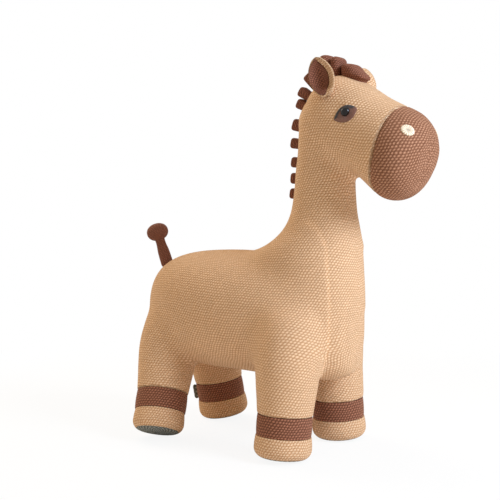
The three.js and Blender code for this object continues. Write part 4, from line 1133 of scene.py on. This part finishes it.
def forelockMesh():
    voxel, band, margin = forelock["voxel"], forelock["band"], forelock["margin"]
    roots, _ = alongCurve(headChords[:, :2], forelock["place"])
    grids = []
    for root, lobe, reach, lean in zip(roots, forelock["lobe"], forelock["reach"], forelock["lean"]):
        matrix = lobeMatrix([root[0], 0, root[1]], leaning(lean, 0))
        grids.append(lobeGrid(forelock["width"], lobe, reach, matrix, forelock["rounding"],
                              forelock["squareness"], 64))
    low = np.floor((np.min([g.min((0, 1)) for g in grids], 0) - margin) / voxel).astype(int)
    high = np.ceil((np.max([g.max((0, 1)) for g in grids], 0) + margin) / voxel).astype(int)
    fields = [fieldOf(grid, low, tuple(high - low), voxel, band) for grid in grids]
    # The last two lobes run into one long one; the others keep a notch between them
    field = smoothUnion(fields[2], fields[3], forelock["longBlend"])
    for other in fields[:2]:
        field = smoothUnion(field, other, forelock["blend"])
    return meshOf(field, low, voxel, band)


forelockPoints, forelockQuads = forelockMesh()
forelockPoints = averaged(forelockPoints, *edgePairs(forelockQuads, noTriangles, len(forelockPoints)), 3)
dress(knitPiece("knitted_forelock", placed(forelockPoints), forelockQuads, noTriangles, fineBrownKnit),
      ["forelock"])
print("mane and forelock made")


# Tail: a stuffed stem with a flattened ball on top
tail = {
    "tilt": 22, "length": 84, "rootRadius": 16, "stemRadius": 15, "tipRadius": 12.5, "ballRadius": 28,
    "ballHeight": 44,
}


def tailPieces():
    matrix = axisBasis(jointPlaces["tail_flip"], leaning(tail["tilt"], 0))
    turn = np.radians(np.linspace(-86, -10, 10))
    root = np.stack([tail["rootRadius"] * np.cos(turn), tail["rootRadius"] * np.sin(turn)], -1)
    stem = smoothRows([
        root[-1], [tail["stemRadius"], tail["length"] / 3], [tail["tipRadius"], tail["length"] * 0.6],
        [tail["tipRadius"], tail["length"] * 0.78]], np.linspace(0, 1, 20))[1:]
    turn = np.radians(np.linspace(-87, 87, 36))
    ball = np.stack([tail["ballRadius"] * signedPower(np.cos(turn), 0.9),
                     tail["length"] + tail["ballHeight"] / 2 * signedPower(np.sin(turn), 0.95)], -1)
    return turnedGrid(np.vstack([root, stem]), matrix, 56), turnedGrid(ball, matrix, 80)


stemGrid, ballGrid = tailPieces()
dress(ringPiece("knitted_tail_stem", stemGrid, fineBrownKnit), ["tail_stem"], "tail")
dress(ringPiece("knitted_tail_ball", ballGrid, fineBrownKnit), ["tail_ball"], "tail")


# Blank ribbon tab in the seam of a rear band: a strip folded on itself
tab = {"leg": "rear_left", "height": 38, "reach": 10, "thickness": 2.2, "turn": -146.25}


def tabGrid(sides=40):
    turn = math.radians(tab["turn"])
    aside = [math.cos(turn), math.sin(turn), 0]
    matrix = legFrames[tab["leg"]] @ basis([0, 0, 0], aside, [-aside[1], aside[0], 0], [0, 0, 1])
    height = np.linspace(-1, 1, 16)[:, None]
    rounding = 1 - np.abs(height) ** 12 * 0.7
    along, across = squaredTurn(fullTurn(sides), 4, 2 / 0.7)
    x = leg["ankleRadius"] - 0.6 + (tab["reach"] + 1) / 2 * (1 + along * rounding)
    y = tab["thickness"] / 2 * across * rounding
    z = bandBottom + leg["bandHeight"] / 2 + height * tab["height"] / 2
    return moved(np.stack(np.broadcast_arrays(x, y, z), -1), matrix)


dress(ringPiece("ribbon_tab", tabGrid(), greyCanvas), ["label_tab"])
print("tail and tab made")


# Plain pale floor, white backdrop and soft studio light
studio = {"world": 0.47, "floor": 6.0, "floorDepth": 0.0006, "nearWhite": 0.9, "fadeFrom": 0.8, "fadeTo": 1.7}
lamps = {
    "key": {"place": (2.85, -0.12, 2.0), "target": (0, 0, 0.45), "size": 1.4, "energy": 126,
            "colour": "#D6E7FF"},
    "rim": {"place": (-2.2, 0.3, 2.6), "target": (0, 0, 0.5), "size": 2.4, "energy": 56,
            "colour": "#FFF1DC"},
}


def seenRays(tree):
    # 1 for the rays that show the backdrop: those from the camera, reflected ones and those let through
    rays = addNode(tree, "ShaderNodeLightPath").outputs
    seen = calc(tree, "MAXIMUM", rays["Is Camera Ray"], rays["Is Glossy Ray"])
    return calc(tree, "MAXIMUM", seen, rays["Is Transmission Ray"])


def makeFloor():
    size, low = studio["floor"], -studio["floorDepth"]
    mesh = bpy.data.meshes.new("floor")
    mesh.from_pydata([(-size, -size, low), (size, -size, low), (size, size, low), (-size, size, low)],
                     [], [(0, 1, 2, 3)])
    floor = bpy.data.objects.new("floor", mesh)
    bpy.context.scene.collection.objects.link(floor)
    material, tree, shader = newMaterial("pale_floor")
    shader.inputs["Base Color"].default_value = linear("#F4F3F1")
    shader.inputs["Roughness"].default_value = 0.9
    # The floor fades to the white backdrop away from the object
    distance = vectorCalc(tree, "LENGTH", addNode(tree, "ShaderNodeTexCoord").outputs["Object"])
    fade = smoothFade(tree, distance, studio["fadeFrom"], studio["fadeTo"], studio["nearWhite"], 1.0)
    share = calc(tree, "MULTIPLY", seenRays(tree), fade)
    white = addNode(tree, "ShaderNodeEmission", {}, {"Color": (1, 1, 1, 1), "Strength": 1.0})
    mix = addNode(tree, "ShaderNodeMixShader", {}, {0: share, 1: shader.outputs[0], 2: white.outputs[0]})
    tree.links.new(mix.outputs[0], tree.nodes["Material Output"].inputs["Surface"])
    mesh.materials.append(material)


def makeWorld():
    world = bpy.data.worlds.new("studio")
    bpy.context.scene.world = world
    world.use_nodes = True
    tree = world.node_tree
    soft = addNode(tree, "ShaderNodeBackground", {}, {
        "Color": linear("#FFEBCF"), "Strength": studio["world"]})
    white = addNode(tree, "ShaderNodeBackground", {}, {"Color": (1, 1, 1, 1), "Strength": 1.0})
    mix = addNode(tree, "ShaderNodeMixShader", {}, {
        0: seenRays(tree), 1: soft.outputs[0], 2: white.outputs[0]})
    tree.links.new(mix.outputs[0], tree.nodes["World Output"].inputs["Surface"])


def addLamp(name, place, target, size, energy, colour):
    lamp = bpy.data.lights.new(name, "AREA")
    lamp.shape = "DISK"
    lamp.size = size
    lamp.energy = energy
    lamp.color = linear(colour)[:3]
    lampObject = bpy.data.objects.new(name, lamp)
    lampObject.location = place
    lampObject.rotation_euler = (Vector(target) - Vector(place)).to_track_quat("-Z", "Y").to_euler()
    bpy.context.scene.collection.objects.link(lampObject)


makeFloor()
makeWorld()
for name, lamp in lamps.items():
    addLamp(name, **lamp)
print("stage set")

# The CAD nodes keep their own materials, by the slots that the record gives them
nodeMaterials = {
    "beige_knit": beigeKnit, "rose_knit": roseKnit, "brown_knit": brownKnit, "cream_yarn": creamYarn,
    "grey_canvas": greyCanvas, "brown_felt": brownFelt, "black_plastic": blackPlastic,
    "white_plastic": whitePlastic, "painted_steel": coatedSteel, "zinc_steel": zincSteel,
    "plywood": birchPlywood,
}
for entry in frame["record"]["subparts"]:
    node = frame["nodes"][entry["node"]]
    node.data.materials.clear()
    node.data.materials.append(nodeMaterials[entry["material_slot"]])
for end in ("rear", "head"):
    frame["nodes"]["tube_cap_" + end].data.materials[0] = capPlastic
print("inner pieces given their materials")
